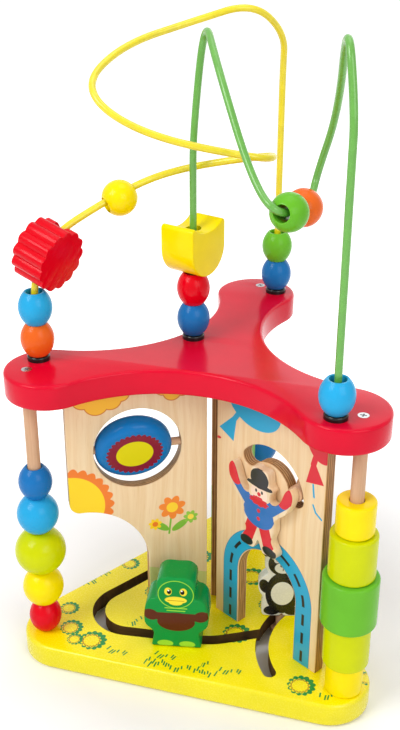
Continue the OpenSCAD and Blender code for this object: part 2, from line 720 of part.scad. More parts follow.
// Figures on the track and on the right panel
track_leg_share = 0.79;
track_way = heading(main_corners, 1);
duck_at = xyz(main_corners[1]) + track_leg_share * (xyz(main_corners[2]) - xyz(main_corners[1]));
duck_facing = 11;
bear_angle = 154.3;
bear_at = cross_pivot + polar(cross_r, bear_angle);
bear_facing = 15;
figure_low = base_t + slide_gap;
track_guide_len = figure_low - channel_depth + slide_gap;
module standing(place, facing, t) {
    translate(at_height(place, figure_low))
        rotate([0, 0, facing])
            difference() {
                upright(t)
                    children();
                translate([0, 0, -over])
                    cylinder(d = peg_d + 2 * seat_gap, h = peg_seat + seat_gap + over);
            }
}
module duck() {
    color("green") standing(duck_at, duck_facing, duck_t)
        figure_outline(duck_shares, duck_w, duck_h);
}
module duck_peg() {
    color("tan") translate(at_height(duck_at, figure_low))
        guide_peg(peg_seat, track_w - 2 * peg_play, track_guide_len);
}
module bear() {
    color("white") standing(bear_at, bear_facing, bear_t)
        figure_outline(bear_shares, bear_w, bear_h);
}
module bear_peg() {
    color("tan") translate(at_height(bear_at, figure_low))
        guide_peg(peg_seat, track_w - 2 * peg_play, track_guide_len);
}
hand_shares = [0.92, 0.84];
jester_angle = 13.7;
jester_back = panel_t / 2 + slide_gap;
jester_peg_at = slot_at + polar(slot_r, jester_angle);
jester_at = jester_peg_at - [hand_shares[0] * jester_w / 2, hand_shares[1] * jester_h];
module jester() {
    color("orange") rotate([0, 0, right_angle])
        difference() {
            translate([jester_at[0], -jester_back, jester_at[1]])
                rotate([90, 0, 0])
                    linear_extrude(jester_t)
                        figure_outline(jester_shares, jester_w, jester_h);
            translate([jester_peg_at[0], -jester_back + over, jester_peg_at[1]])
                rotate([90, 0, 0])
                    cylinder(d = peg_d + 2 * seat_gap, h = peg_seat + seat_gap + over);
        }
}
module jester_peg() {
    color("tan") rotate([0, 0, right_angle])
        translate([jester_peg_at[0], -jester_back, jester_peg_at[1]])
            rotate([90, 0, 0])
                guide_peg(peg_seat, slot_w - 2 * peg_play, panel_t + 2 * slide_gap);
}

// Beads on the wires
module left_bead_low() color("orangered") wire_bead(left_foot, 0);
module left_bead_high() color("deepskyblue") wire_bead(left_foot, 1);
module middle_bead_low() color("blue") wire_bead(middle_at, 0);
module middle_bead_high() color("red") wire_bead(middle_at, 1);
module rear_bead_low() color("blue") wire_bead(rear_foot, 0);
module rear_bead_high() color("green") wire_bead(rear_foot, 1);
module right_bead() color("deepskyblue") wire_bead(right_foot, 0);
module cog_block() {
    points = cog_teeth * 8;
    color("red") threaded(cog_at, cog_axis, cog_way)
        difference() {
            linear_extrude(cog_t, center = true)
                polygon([for (i = [0 : points - 1]) let (a = 360 * i / points)
                    polar(cog_d / 2 - cog_tooth * (1 - abs(cos(a * cog_teeth / 2))), a)]);
            rotate([0, 90, 0])
                cylinder(d = bead_bore, h = cog_d + 2 * over, center = true);
        }
}
moon_facing = -19;
moon_at = at_height(middle_at, wire_stack_low + stack_low(bead_heights, 2));
hollow_mid = [0, moon_h - moon_hollow + moon_hollow_r];
hollow_turn = acos((moon_hollow_r - moon_hollow) / moon_hollow_r);
hollow_down = -90;
module moon_outline() {
    moon_r = moon_w / 2;
    horn_side = moon_r - moon_horn_r;
    horn_h = moon_h - moon_horn_r;
    polygon(concat(arc_points([0, moon_r], moon_r, 180, 360, 2 * arc_steps),
        arc_points([horn_side, horn_h], moon_horn_r, 0, 90, arc_steps / 2),
        arc_points(hollow_mid, moon_hollow_r, hollow_down + hollow_turn, hollow_down - hollow_turn,
            arc_steps),
        arc_points([-horn_side, horn_h], moon_horn_r, 90, 180, arc_steps / 2)));
}
module moon_block() {
    color("yellow") translate(moon_at)
        rotate([0, 0, moon_facing])
            difference() {
                rotate([90, 0, 90])
                    linear_extrude(moon_t, center = true)
                        moon_outline();
                translate([0, 0, -over])
                    cylinder(d = bead_bore, h = moon_h + 2 * over);
            }
}
module threaded_ball(place, way) {
    threaded(place, way, level_side(way))
        ball();
}
module strand_ball() color("yellow") threaded_ball(strand_ball_at, strand_way);
module valley_ball() color("green") threaded_ball(valley_ball_at, valley_way);
module rise_ball() color("orange") threaded_ball(rise_ball_at, rise_way);

// Beads on the posts, numbered upward
module left_round_1() color("red") post_bead(left_angle, 0);
module left_round_2() color("yellow") post_bead(left_angle, 1);
module left_round_3() color("greenyellow") post_bead(left_angle, 2);
module left_round_4() color("deepskyblue") post_bead(left_angle, 3);
module left_round_5() color("blue") post_bead(left_angle, 4);
module right_cylinder_1() color("yellow") post_cylinder(0);
module right_cylinder_2() color("greenyellow") post_cylinder(1);
module right_cylinder_3() color("green") post_cylinder(2);
module right_cylinder_4() color("greenyellow") post_cylinder(3);
module right_cylinder_5() color("yellow") post_cylinder(4);
module rear_round_1() color("orange") post_bead(rear_angle, 0);
module rear_round_2() color("red") post_bead(rear_angle, 1);
module rear_round_3() color("blue") post_bead(rear_angle, 2);
module rear_round_4() color("green") post_bead(rear_angle, 3);
module rear_round_5() color("yellow") post_bead(rear_angle, 4);

// Sub-part to draw, or all of them
base_board();
top_plate();
left_post();
right_post();
rear_post();
plate_screws();
base_screws();
left_panel();
right_panel();
rear_panel();
disc_axle();
spin_disc();
left_wire();
right_wire();
wire_collars();
duck();
duck_peg();
bear();
bear_peg();
jester();
jester_peg();
left_bead_low();
left_bead_high();
middle_bead_low();
middle_bead_high();
rear_bead_low();
rear_bead_high();
right_bead();
cog_block();
moon_block();
strand_ball();
valley_ball();
rise_ball();
left_round_1();
left_round_2();
left_round_3();
left_round_4();
left_round_5();
right_cylinder_1();
right_cylinder_2();
right_cylinder_3();
right_cylinder_4();
right_cylinder_5();
rear_round_1();
rear_round_2();
rear_round_3();
rear_round_4();
rear_round_5();
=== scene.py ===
import json
import math

import bpy
from mathutils import Matrix, Vector


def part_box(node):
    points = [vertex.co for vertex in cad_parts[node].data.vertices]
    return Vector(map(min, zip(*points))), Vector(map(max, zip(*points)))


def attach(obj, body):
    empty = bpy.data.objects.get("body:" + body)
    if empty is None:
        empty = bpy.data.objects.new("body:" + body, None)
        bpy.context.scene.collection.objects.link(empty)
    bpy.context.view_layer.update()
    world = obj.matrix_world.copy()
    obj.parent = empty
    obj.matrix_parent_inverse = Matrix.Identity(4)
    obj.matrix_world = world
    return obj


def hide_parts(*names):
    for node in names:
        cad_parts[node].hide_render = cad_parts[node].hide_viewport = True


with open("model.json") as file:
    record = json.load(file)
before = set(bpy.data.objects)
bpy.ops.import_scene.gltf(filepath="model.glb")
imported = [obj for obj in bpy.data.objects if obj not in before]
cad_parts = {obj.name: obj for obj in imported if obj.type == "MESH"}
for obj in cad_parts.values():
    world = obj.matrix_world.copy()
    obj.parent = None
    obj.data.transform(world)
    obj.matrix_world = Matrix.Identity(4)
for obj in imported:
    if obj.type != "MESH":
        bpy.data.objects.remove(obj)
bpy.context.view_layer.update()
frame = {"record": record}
scene = bpy.context.scene
joints = {j["name"]: j for j in frame["record"]["behaviour"]["joints"]}
FRAME = "maze_frame"

# Sizes in millimetres, as in the part's source; meshes are made in metres
MM = 0.001
LEFT, RIGHT, REAR = 210, 330, 90
CORNERS = (REAR, LEFT, RIGHT)
SIDES = {"left": LEFT, "right": RIGHT, "rear": REAR}
LOBE_REACH, LOBE_R, HOLLOW_R = 126, 32.5, 104
BASE_T, BAY_H, PLATE_T = 20, 214.5, 20
BASE_EDGE, PLATE_EDGE, PANEL_EDGE = 3, 2.5, 0.7
PLATE_LOW = BASE_T + BAY_H
PLATE_TOP = PLATE_LOW + PLATE_T
POST_D, POST_REACH = 10, 141.5

# Panels, drawn as (out from the middle, up from the table)
PANEL_T, PANEL_IN, PANEL_OUT, PANEL_PLAY = 10, 7.5, 117, 0.1
PANEL_LOW, PANEL_HIGH = BASE_T + PANEL_PLAY, PLATE_LOW - PANEL_PLAY
FOOT_W, CUT_R, CUT_H, CUT_SOFT = 48, 52, 108, 8.5
DOOR_AT, DOOR_R, DOOR_UP = 63.5, 30.5, 54
WINDOW_AT, WINDOW_R = (62.25, 180.45), 34.3
SLOT_AT, SLOT_R, SLOT_W, SLOT_SWEEP = (63.5, 164.57), 27, 14, (4, 140)

# The track: a slot through the base, with a wider channel below it for the pegs' feet
TRACK_W, CHANNEL_W, CHANNEL_H = 10.5, 22, 8
TRACK_CORNERS = [(-55.06, 36.04), (-116.55, -64.64, 28), (11.97, -49.27, 50), (50.53, -27.47)]
CROSS_AT, CROSS_R, CROSS_SWEEP = (121.968, -28.98), 71, (134, 217)

# The disc and its axle, collars, screws and pegs
AXLE_D, AXLE_PAST, DISC_BORE = 6.4, 8, 6.5
DISC_R, DISC_T, DISC_SOFT, DISC_SHIFT, DISC_TILT = 30, 17, 7, 3, 20
COLLAR_R, COLLAR_H, COLLAR_SOFT, COLLAR_BORE_R = 8.5, 4, 1.6, 2.75
STEM, STEM_R, STEM_HOLE_D = 13, 4.5, 9.2
SCREW = [(0, -24), (1.75, -22.8), (1.75, -2.25), (3.85, -0.15), (3.95, 0), (0, 0)]
SCREW_SINK = [(0, -24.5), (1.9, -24.5), (1.9, -2.3), (4.15, 0.05), (4.15, 1), (0, 1)]
DRIVER_ARM, DRIVER_TIP, DRIVER_DEPTH = 0.55, 2.3, 1.3
PEG_SEAT_D, PEG_SEAT_H, PEG_FOOT_D, PEG_FOOT_H, PEG_SOFT = 6, 5, 18, 4, 0.4

# Beads and blocks
WIRE_BORE, POST_BORE, BEAD_LIP, CYLINDER_EDGE = 12, 11, 1.6, 2
COG_R, COG_T, COG_TEETH, COG_DEPTH, COG_LEAN = 23.25, 27, 13, 2.4, -27
MOON_R, MOON_H, MOON_T, HORN_R, DIP_R, DIP, MOON_TURN = 20.5, 40, 29, 3, 27, 6, -19

# Figures, where they stand and how they are turned
DUCK_AT, DUCK_TURN = (-15.02, -52.49, 20.5), 11
BEAR_AT, BEAR_TURN = (57.99, 1.81, 20.5), 15
JESTER_AT, JESTER_PEG_AT = (61.21, -9.5, 110.49), (89.73, -5.5, 170.97)

# Fineness of the meshes, and turns that repeat
SAME_SPOT, DOUBLES, PAST = 0.02, 0.002, 1
STAND_UP = Matrix.Rotation(math.radians(90), 4, "X")
ALONG_X = Matrix.Rotation(math.radians(90), 4, "Y")
UP = Vector((0, 0, 1))


def polar(reach, angle):
    a = math.radians(angle)
    return Vector((reach * math.cos(a), reach * math.sin(a)))


def arc(centre, radius, start, end, count):
    c = Vector(centre)
    return [c + polar(radius, start + (end - start) * i / count) for i in range(count + 1)]


def start_fresh():
    if bpy.context.mode != "OBJECT":
        bpy.ops.object.mode_set(mode="OBJECT")
    bpy.ops.object.select_all(action="DESELECT")


def make_active(obj):
    start_fresh()
    obj.select_set(True)
    bpy.context.view_layer.objects.active = obj


def settle(obj, place=Matrix.Identity(4), angle=32):
    """Puts the place into the mesh, leaves the object at the origin and smooths its round faces."""
    make_active(obj)
    bpy.ops.object.transform_apply(location=True, rotation=True, scale=True)
    obj.data.transform(place)
    bpy.ops.object.shade_smooth_by_angle(angle=math.radians(angle))
    return obj


def copy_of(obj, name, place):
    twin = obj.copy()
    twin.data = obj.data.copy()
    twin.name = twin.data.name = name
    bpy.context.collection.objects.link(twin)
    return moved(twin, place)


def discard(obj):
    bpy.data.objects.remove(obj, do_unlink=True)


def moved(obj, place):
    obj.data.transform(place)
    return obj


def raised(obj, height):
    return moved(obj, shift(0, 0, height))


def shift(x, y, z):
    return Matrix.Translation(Vector((x, y, z)) * MM)


def turn_z(angle):
    return Matrix.Rotation(math.radians(angle), 4, "Z")


def upright(angle):
    """From a drawing's (out, up) plane to the plane of the panel on that side."""
    return turn_z(angle) @ STAND_UP


def middle(node):
    low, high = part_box(node)
    return (Vector(low) + Vector(high)) / 2


def facing(place, way, side):
    """A frame at place whose third axis is way and whose first axis is side."""
    w = Vector(way).normalized()
    s = (Vector(side) - w * w.dot(Vector(side))).normalized()
    t = w.cross(s)
    m = Matrix.Identity(4)
    for i in range(3):
        m[i][0], m[i][1], m[i][2], m[i][3] = s[i], t[i], w[i], place[i]
    return m


def close_up():
    """Merges the doubled points of the piece in edit mode, turns its faces outwards and leaves edit mode."""
    bpy.ops.mesh.select_all(action="SELECT")
    bpy.ops.mesh.remove_doubles(threshold=DOUBLES * MM)
    bpy.ops.mesh.normals_make_consistent(inside=False)
    bpy.ops.object.mode_set(mode="OBJECT")


def turned(name, profile, steps=72):
    """A lathe piece: one point extruded along the profile (radius, height) and spun about Z."""
    start_fresh()
    bpy.ops.mesh.primitive_plane_add(size=2 * MM)
    obj = bpy.context.object
    obj.name = obj.data.name = name
    bpy.ops.object.mode_set(mode="EDIT")
    bpy.ops.mesh.select_all(action="SELECT")
    bpy.ops.mesh.merge(type="CENTER")
    at = Vector((0, 0, 0))
    for i, (radius, height) in enumerate(profile):
        step = Vector((radius * MM, 0, height * MM)) - at
        if i == 0:
            bpy.ops.transform.translate(value=step)
        else:
            bpy.ops.mesh.extrude_region_move(TRANSFORM_OT_translate={"value": step})
        at += step
    bpy.ops.mesh.select_all(action="SELECT")
    bpy.ops.mesh.spin(steps=steps, angle=2 * math.pi, center=(0, 0, 0), axis=(0, 0, 1))
    close_up()
    return settle(obj)


def add_spline(curve, points):
    spline = curve.splines.new("POLY")
    spline.points.add(len(points) - 1)
    for spot, p in zip(spline.points, points):
        x, y, z = p.to_3d()
        spot.co = (x * MM, y * MM, z * MM, 1)
    return spline


def meshed(name, curve):
    """A curve made a mesh object, which is then active."""
    obj = bpy.data.objects.new(name, curve)
    bpy.context.collection.objects.link(obj)
    make_active(obj)
    bpy.ops.object.convert(target="MESH")
    return bpy.context.object


def area_of(points):
    return sum(a[0] * b[1] - b[0] * a[1] for a, b in zip(points, points[1:] + points[:1])) / 2


def board(name, outline, thickness, edge=0, holes=()):
    """A flat board cut to an outline, lying on its middle plane, with its edges rounded over."""
    start_fresh()
    drawing = bpy.data.curves.new(name, "CURVE")
    drawing.dimensions = "2D"
    drawing.fill_mode = "BOTH"
    drawing.extrude = (thickness / 2 - edge) * MM
    drawing.bevel_depth = edge * MM
    drawing.bevel_resolution = 3
    drawing.offset = -edge * MM
    for i, points in enumerate([outline, *holes]):
        points = [Vector((p[0], p[1])) for p in points]
        points = [p for p, q in zip(points, points[-1:] + points[:-1]) if (p - q).length > SAME_SPOT]
        if (area_of(points) > 0) == (i > 0):
            points.reverse()
        add_spline(drawing, points).use_cyclic_u = True
    obj = meshed(name, drawing)
    bpy.ops.object.mode_set(mode="EDIT")
    close_up()
    return obj


def rod(name, diameter, low, high, edge=0.5, vertices=48):
    """A straight round bar along Z with its end edges taken off."""
    start_fresh()
    bpy.ops.mesh.primitive_cylinder_add(vertices=vertices, radius=diameter / 2 * MM, depth=(high - low) * MM,
                                        location=(0, 0, (low + high) / 2 * MM))
    obj = bpy.context.object
    obj.name = obj.data.name = name
    bpy.ops.object.transform_apply(location=True, rotation=True, scale=True)
    bevel = obj.modifiers.new("ends", "BEVEL")
    bevel.width = edge * MM
    bevel.segments = 2
    bevel.angle_limit = math.radians(50)
    bpy.ops.object.modifier_apply(modifier="ends")
    return obj


def cut(obj, *cutters):
    for cutter in cutters:
        make_active(obj)
        modifier = obj.modifiers.new("cut", "BOOLEAN")
        modifier.operation = "DIFFERENCE"
        modifier.solver = "EXACT"
        modifier.object = cutter
        bpy.ops.object.modifier_apply(modifier="cut")
        discard(cutter)
    return obj


def hand_in(obj, body, slot, material, *nodes):
    """Gives a finished piece its material and its body, and hides the CAD nodes that it stands for."""
    obj.data.materials.clear()
    obj.data.materials.append(material)
    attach(obj, body)
    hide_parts(*nodes)


# Routes of the track and the wires
def rounded_path(corners, degrees):
    """A plan path whose inner corners (x, y, radius) are rounded in steps of about that many degrees."""
    spots = [Vector((c[0], c[1], 0)) for c in corners]
    points = [spots[0]]
    for before, corner, after, (_, _, r) in zip(spots, spots[1:], spots[2:], corners[1:]):
        a, b = (corner - before).normalized(), (after - corner).normalized()
        turn = a.angle(b)
        out = a.cross(a.cross(b).normalized())
        start = corner - a * r * math.tan(turn / 2)
        count = max(2, math.ceil(math.degrees(turn) / degrees))
        for q in [turn * k / count for k in range(count + 1)]:
            points.append(start - out * r * (1 - math.cos(q)) + a * r * math.sin(q))
    return points + [spots[-1]]


def ribbon(path, width):
    """The outline of a slot of that width round a plan path, with round ends."""
    last = len(path) - 1
    runs = [path[min(i + 1, last)] - path[max(i - 1, 0)] for i in range(last + 1)]
    ways = [math.degrees(math.atan2(run[1], run[0])) for run in runs]
    flat = [Vector((p[0], p[1])) for p in path]
    left = [p + polar(width / 2, w + 90) for p, w in zip(flat, ways)]
    right = [p + polar(width / 2, w - 90) for p, w in zip(flat, ways)]
    head = arc(flat[-1], width / 2, ways[-1] + 90, ways[-1] - 90, 16)[1:-1]
    tail = arc(flat[0], width / 2, ways[0] - 90, ways[0] - 270, 16)[1:-1]
    return left + head + right[::-1] + tail


WIRE_D, WIRE_RISE = 5.3, 240
COLLAR_REACH, COLLAR_SHIFT = 131, 16
MIDDLE_REACH, MIDDLE_WAY = 29.5, 141.5


def collar_at(angle):
    a = math.radians(angle)
    return polar(COLLAR_REACH, angle) + COLLAR_SHIFT * Vector((math.sin(a), -math.cos(a)))


FEET = {"left": collar_at(LEFT), "middle": polar(MIDDLE_REACH, MIDDLE_WAY), "rear": collar_at(REAR),
        "right": collar_at(RIGHT)}

# The wires' corners: heights straight above each foot, and between them shares of lobe reach and wire rise
FOOT_CORNERS = {"left": (258.5, 339.9), "rear": (440, 400), "middle": (372.1, 411.9), "right": (454.9, 424.9)}
LEFT_SHARES = [(-0.597, 0.037, 0.479), (-0.316, 0.247, 0.536), (0.286, 0.254, 0.603), (0.295, -0.038, 0.62),
               (-0.392, -0.146, 0.681), (-0.753, -0.1, 0.794), (-0.661, 0.295, 0.889), (-0.315, 0.641, 0.945),
               (0.007, 0.724, 0.999), (0.151, 0.958, 0.896)]
RIGHT_SHARES = [(-0.149, 0.261, 0.989), (0.016, -0.086, 0.891), (0.293, -0.36, 0.6), (0.479, -0.53, 0.537),
                (0.54, -0.024, 0.512), (0.539, 0.112, 0.57), (0.663, -0.027, 0.772), (0.761, -0.516, 1.061)]


def wire_route(start, shares, end):
    """The corners of a wire from one foot to another."""
    bottom = PLATE_TOP - STEM
    rise = [Vector((*FEET[start], z)) for z in (bottom, *FOOT_CORNERS[start])]
    fall = [Vector((*FEET[end], z)) for z in (*FOOT_CORNERS[end], bottom)]
    between = [Vector((x * LOBE_REACH, y * LOBE_REACH, PLATE_TOP + z * WIRE_RISE)) for x, y, z in shares]
    return rise + between + fall


def soft_path(corners, count):
    """A path that cuts each corner to a curve between the middles of its two sides."""
    middles = [(a + b) / 2 for a, b in zip(corners[1:-2], corners[2:-1])]
    joins = [corners[0], *middles, corners[-1]]
    points = [corners[0]]
    for a, b, c in zip(joins, corners[1:-1], joins[1:]):
        for t in [k / count for k in range(1, count + 1)]:
            points.append(a.lerp(b, t).lerp(b.lerp(c, t), t))
    return points


def bent_wire(name, corners):
    start_fresh()
    bar = bpy.data.curves.new(name, "CURVE")
    bar.dimensions = "3D"
    bar.bevel_depth = WIRE_D / 2 * MM
    bar.bevel_resolution = 6
    bar.use_fill_caps = True
    add_spline(bar, soft_path(corners, 14))
    return settle(meshed(name, bar), angle=60)


# Outlines of the boards
def base_outline():
    return [p for a in CORNERS for p in arc(polar(LOBE_REACH, a), LOBE_R, a - 60, a + 60, 32)]


def plate_outline():
    half = LOBE_REACH * math.sin(math.radians(60))
    reach = LOBE_REACH / 2 + math.sqrt((HOLLOW_R + LOBE_R) ** 2 - half ** 2)
    turn = math.degrees(math.atan2(reach * math.sin(math.radians(60)), reach / 2 - LOBE_REACH))
    points = []
    for a in CORNERS:
        points += arc(polar(LOBE_REACH, a), LOBE_R, a - turn, a + turn, 56)
        points += arc(polar(reach, a + 60), HOLLOW_R, a + turn + 180, a + 300 - turn, 32)
    return points


def left_outline():
    """The left panel, with the quarter-round cut beside its foot."""
    cut_top = BASE_T + CUT_H
    return ([(PANEL_IN, PANEL_HIGH), (PANEL_IN, PANEL_LOW), (PANEL_IN + FOOT_W, PANEL_LOW)]
            + arc((PANEL_IN + FOOT_W + CUT_R, cut_top - CUT_R), CUT_R, 180, 90, 40)
            + arc((PANEL_OUT - CUT_SOFT, cut_top + CUT_SOFT), CUT_SOFT, -90, 0, 12)
            + [(PANEL_OUT, PANEL_HIGH)])


def arch_outline():
    """The right or rear panel, with its arched doorway."""
    return ([(PANEL_IN, PANEL_HIGH), (PANEL_IN, PANEL_LOW), (DOOR_AT - DOOR_R, PANEL_LOW)]
            + arc((DOOR_AT, BASE_T + DOOR_UP), DOOR_R, 180, 0, 60)
            + [(DOOR_AT + DOOR_R, PANEL_LOW), (PANEL_OUT, PANEL_LOW), (PANEL_OUT, PANEL_HIGH)])


def smooth_outline(half, width, height, steps=8):
    """A closed curve through a mirrored half outline given as shares of half width and height."""
    pts = [Vector(p) for p in half] + [Vector((-p[0], p[1])) for p in half[-2:0:-1]]
    n = len(pts)
    curve = []
    for i in range(n):
        a, b, c, d = pts[i - 1], pts[i], pts[(i + 1) % n], pts[(i + 2) % n]
        for t in [k / steps for k in range(steps)]:
            bend = (2 * a - 5 * b + 4 * c - d) * t * t + (3 * b - a - 3 * c + d) * t ** 3
            q = (2 * b + (c - a) * t + bend) / 2
            curve.append((q[0] * width / 2, max(0, q[1]) * height))
    return curve


def moon_outline():
    """A half-round block with two rounded horns and a hollow between them."""
    dip = math.degrees(math.acos((DIP_R - DIP) / DIP_R))
    horn, tip = MOON_R - HORN_R, MOON_H - HORN_R
    return (arc((0, MOON_R), MOON_R, 180, 360, 72) + arc((horn, tip), HORN_R, 0, 90, 8)
            + arc((0, MOON_H - DIP + DIP_R), DIP_R, dip - 90, -dip - 90, 40)
            + arc((-horn, tip), HORN_R, 90, 180, 8))


def cog_outline(count=260):
    """A round block with a scalloped edge."""
    turns = [360 * i / count for i in range(count)]
    waves = [abs(math.cos(math.radians(turn * COG_TEETH / 2))) for turn in turns]
    return [polar(COG_R - COG_DEPTH * (1 - wave), turn) for turn, wave in zip(turns, waves)]


def driver_cross():
    """The cross recess of a screw head: one arm, turned four times."""
    arm = [(DRIVER_TIP, -DRIVER_ARM), (DRIVER_TIP, DRIVER_ARM), (DRIVER_ARM, DRIVER_ARM)]
    points = []
    for _ in range(4):
        points += arm
        arm = [(-y, x) for x, y in arm]
    return points


# Lathe profiles
def mirrored(profile):
    return [(x, -y) for x, y in profile[::-1]]


def bore_lip(bore_r, top, lip):
    """The eased inner edge at the upper end of a bored piece."""
    return [(bore_r, top - lip), (bore_r + 0.3 * lip, top - 0.3 * lip), (bore_r + lip, top)]


def cylinder_profile(diameter, height):
    """A bored cylinder on a post, with rounded rims."""
    edge = CYLINDER_EDGE
    rim = arc((diameter / 2 - edge, height / 2 - edge), edge, 90, 0, 10)
    upper = bore_lip(POST_BORE / 2, height / 2, edge / 2) + rim
    return upper + mirrored(upper) + upper[:1]


def barrel_profile(diameter, height, bore, lip=BEAD_LIP, count=24):
    """A bored bead whose side is one arc from end to end."""
    h = height / 2
    bulge = diameter / 2 - bore / 2 - lip
    r = (h * h + bulge * bulge) / (2 * bulge)
    half = math.degrees(math.asin(h / r))
    end = bore_lip(bore / 2, h, min(0.6, lip * 0.6))
    return end + arc((diameter / 2 - r, 0), r, half, -half, count) + mirrored(end) + end[:1]


def guide_peg(name, guide_d, guide_h):
    """A guide peg with its seat, guide and retaining foot; top of the guide at height 0."""
    seat, guide, foot, soft = PEG_SEAT_D / 2, guide_d / 2, PEG_FOOT_D / 2, PEG_SOFT
    sole = -guide_h - PEG_FOOT_H
    return turned(name, [(0, PEG_SEAT_H), (seat - soft, PEG_SEAT_H), (seat, PEG_SEAT_H - soft), (seat, 0),
                         (guide, 0), (guide, -guide_h), (foot - soft, -guide_h), (foot, -guide_h - soft),
                         (foot, sole + soft), (foot - soft, sole), (0, sole)], 40)


# Finishes
WHITE, BLACK = (1, 1, 1, 1), (0, 0, 0, 1)


def ink(code):
    """A printed colour from its sRGB code, as linear light."""
    parts = [int(code[i:i + 2], 16) / 255 for i in (0, 2, 4)]
    return (*[c / 12.92 if c <= 0.04045 else ((c + 0.055) / 1.055) ** 2.4 for c in parts], 1.0)


class Drawing:
    """A node tree under construction: each call adds a node and returns its output."""

    def __init__(self, tree):
        self.tree = tree

    def feed(self, socket, value):
        if isinstance(value, bpy.types.NodeSocket):
            self.tree.links.new(value, socket)
        elif isinstance(value, (int, float)) and hasattr(socket.default_value, "__len__"):
            socket.default_value = [value] * len(socket.default_value)
        else:
            if hasattr(value, "__len__") and socket.type == "VECTOR" and len(value) == 2:
                value = (*value, 0)
            socket.default_value = value

    def add(self, kind, inputs=(), output=0, **settings):
        """A node whose inputs are given in order, or by name or number in a dictionary."""
        node = self.tree.nodes.new(kind)
        for key, value in settings.items():
            setattr(node, key, value)
        for key, value in inputs.items() if isinstance(inputs, dict) else enumerate(inputs):
            self.feed(node.inputs[key], value)
        return node.outputs[output]

    def group(self, tree, **inputs):
        """A placed node group, of which all outputs are returned."""
        node = self.tree.nodes.new("ShaderNodeGroup")
        node.node_tree = tree
        for key, value in inputs.items():
            self.feed(node.inputs[key], value)
        return node.outputs

    def reckon(self, operation, *values):
        return self.add("ShaderNodeMath", values, operation=operation)

    def plus(self, a, b):
        return self.reckon("ADD", a, b)

    def less(self, a, b):
        return self.reckon("SUBTRACT", a, b)

    def times(self, a, b):
        return self.reckon("MULTIPLY", a, b)

    def size(self, a):
        return self.reckon("ABSOLUTE", a)

    def reach(self, x, y):
        return self.reckon("SQRT", self.plus(self.times(x, x), self.times(y, y)))

    def either(self, *masks):
        mask = masks[0]
        for m in masks[1:]:
            mask = self.reckon("MAXIMUM", mask, m)
        return mask

    def without(self, a, b):
        return self.times(a, self.less(1.0, b))

    def vector(self, operation, *values, output=0):
        return self.add("ShaderNodeVectorMath", values, output, operation=operation)

    def dot(self, a, b):
        return self.vector("DOT_PRODUCT", a, b, output="Value")

    def rotated(self, vector, angle, axis="Z"):
        inputs = {"Vector": vector, "Angle": angle}
        return self.add("ShaderNodeVectorRotate", inputs, rotation_type=axis + "_AXIS")

    def parts(self, vector):
        node = self.tree.nodes.new("ShaderNodeSeparateXYZ")
        self.feed(node.inputs[0], vector)
        return node.outputs

    def joined(self, x, y, z):
        return self.add("ShaderNodeCombineXYZ", (x, y, z))

    def noise(self, place, scale=1.0, **more):
        return self.add("ShaderNodeTexNoise", {"Vector": place, "Scale": scale, **more})

    def ramp(self, value, low, high, to_low=0.0, to_high=1.0):
        return self.add("ShaderNodeMapRange", (value, low, high, to_low, to_high), clamp=True)

    def inside(self, away, soft=0.12):
        """A mask of where the distance away is below zero, with a soft edge."""
        return self.ramp(away, soft, -soft)

    def over(self, below, mask, above, blend="MIX"):
        """above laid on below where mask is 1."""
        return self.add("ShaderNodeMix", {0: mask, 6: below, 7: above}, 2, data_type="RGBA", blend_type=blend)

    def toned(self, colour, tone):
        return self.over(colour, 1.0, tone, "MULTIPLY")

    def background_rays(self):
        """A mask of the rays that see the background: straight, mirrored or through glass."""
        rays = self.tree.nodes.new("ShaderNodeLightPath").outputs
        return self.either(rays["Is Camera Ray"], rays["Is Glossy Ray"], rays["Is Transmission Ray"])


def new_group(name, vectors, values, outputs):
    """A node group that takes vectors and values and gives values."""
    tree = bpy.data.node_groups.new(name, "ShaderNodeTree")
    sockets = [(key, "INPUT", "NodeSocketVector") for key in vectors]
    sockets += [(key, "INPUT", "NodeSocketFloat") for key in values]
    sockets += [(key, "OUTPUT", "NodeSocketFloat") for key in outputs]
    for key, side, kind in sockets:
        tree.interface.new_socket(key, in_out=side, socket_type=kind)
    taken = tree.nodes.new("NodeGroupInput").outputs
    given = tree.nodes.new("NodeGroupOutput").inputs
    return Drawing(tree), taken, given


def centred(d, taken):
    """A group's Place, measured from its Centre and turned back by its Turn."""
    return d.rotated(d.vector("SUBTRACT", taken["Place"], taken["Centre"]), d.times(taken["Turn"], -1))


def spot_group():
    """A round or oval print, plain or scalloped; lengths in millimetres."""
    d, taken, given = new_group("printed_spot", ["Place", "Centre", "Radii"], ["Turn", "Scallops", "Depth"],
                                ["Mask"])
    x, y, _ = d.parts(centred(d, taken))
    rx, ry, _ = d.parts(taken["Radii"])
    x, y = d.reckon("DIVIDE", x, rx), d.reckon("DIVIDE", y, ry)
    waves = d.times(d.reckon("ARCTAN2", y, x), d.times(taken["Scallops"], 0.5))
    wave = d.size(d.reckon("COSINE", waves))
    edge = d.less(1.0, d.times(taken["Depth"], d.less(1.0, wave)))
    away = d.times(d.less(d.reach(x, y), edge), d.reckon("MINIMUM", rx, ry))
    d.feed(given["Mask"], d.inside(away))
    return d.tree


def line_group():
    """A printed stroke of even width between two points."""
    d, taken, given = new_group("printed_line", ["Place", "From", "To"], ["Width"], ["Mask"])
    lead = d.vector("SUBTRACT", taken["Place"], taken["From"])
    run = d.vector("SUBTRACT", taken["To"], taken["From"])
    share = d.ramp(d.reckon("DIVIDE", d.dot(lead, run), d.dot(run, run)), 0, 1)
    rest = d.vector("SUBTRACT", lead, d.vector("MULTIPLY", run, d.joined(share, share, share)))
    away = d.less(d.vector("LENGTH", rest, output="Value"), d.times(taken["Width"], 0.5))
    d.feed(given["Mask"], d.inside(away))
    return d.tree


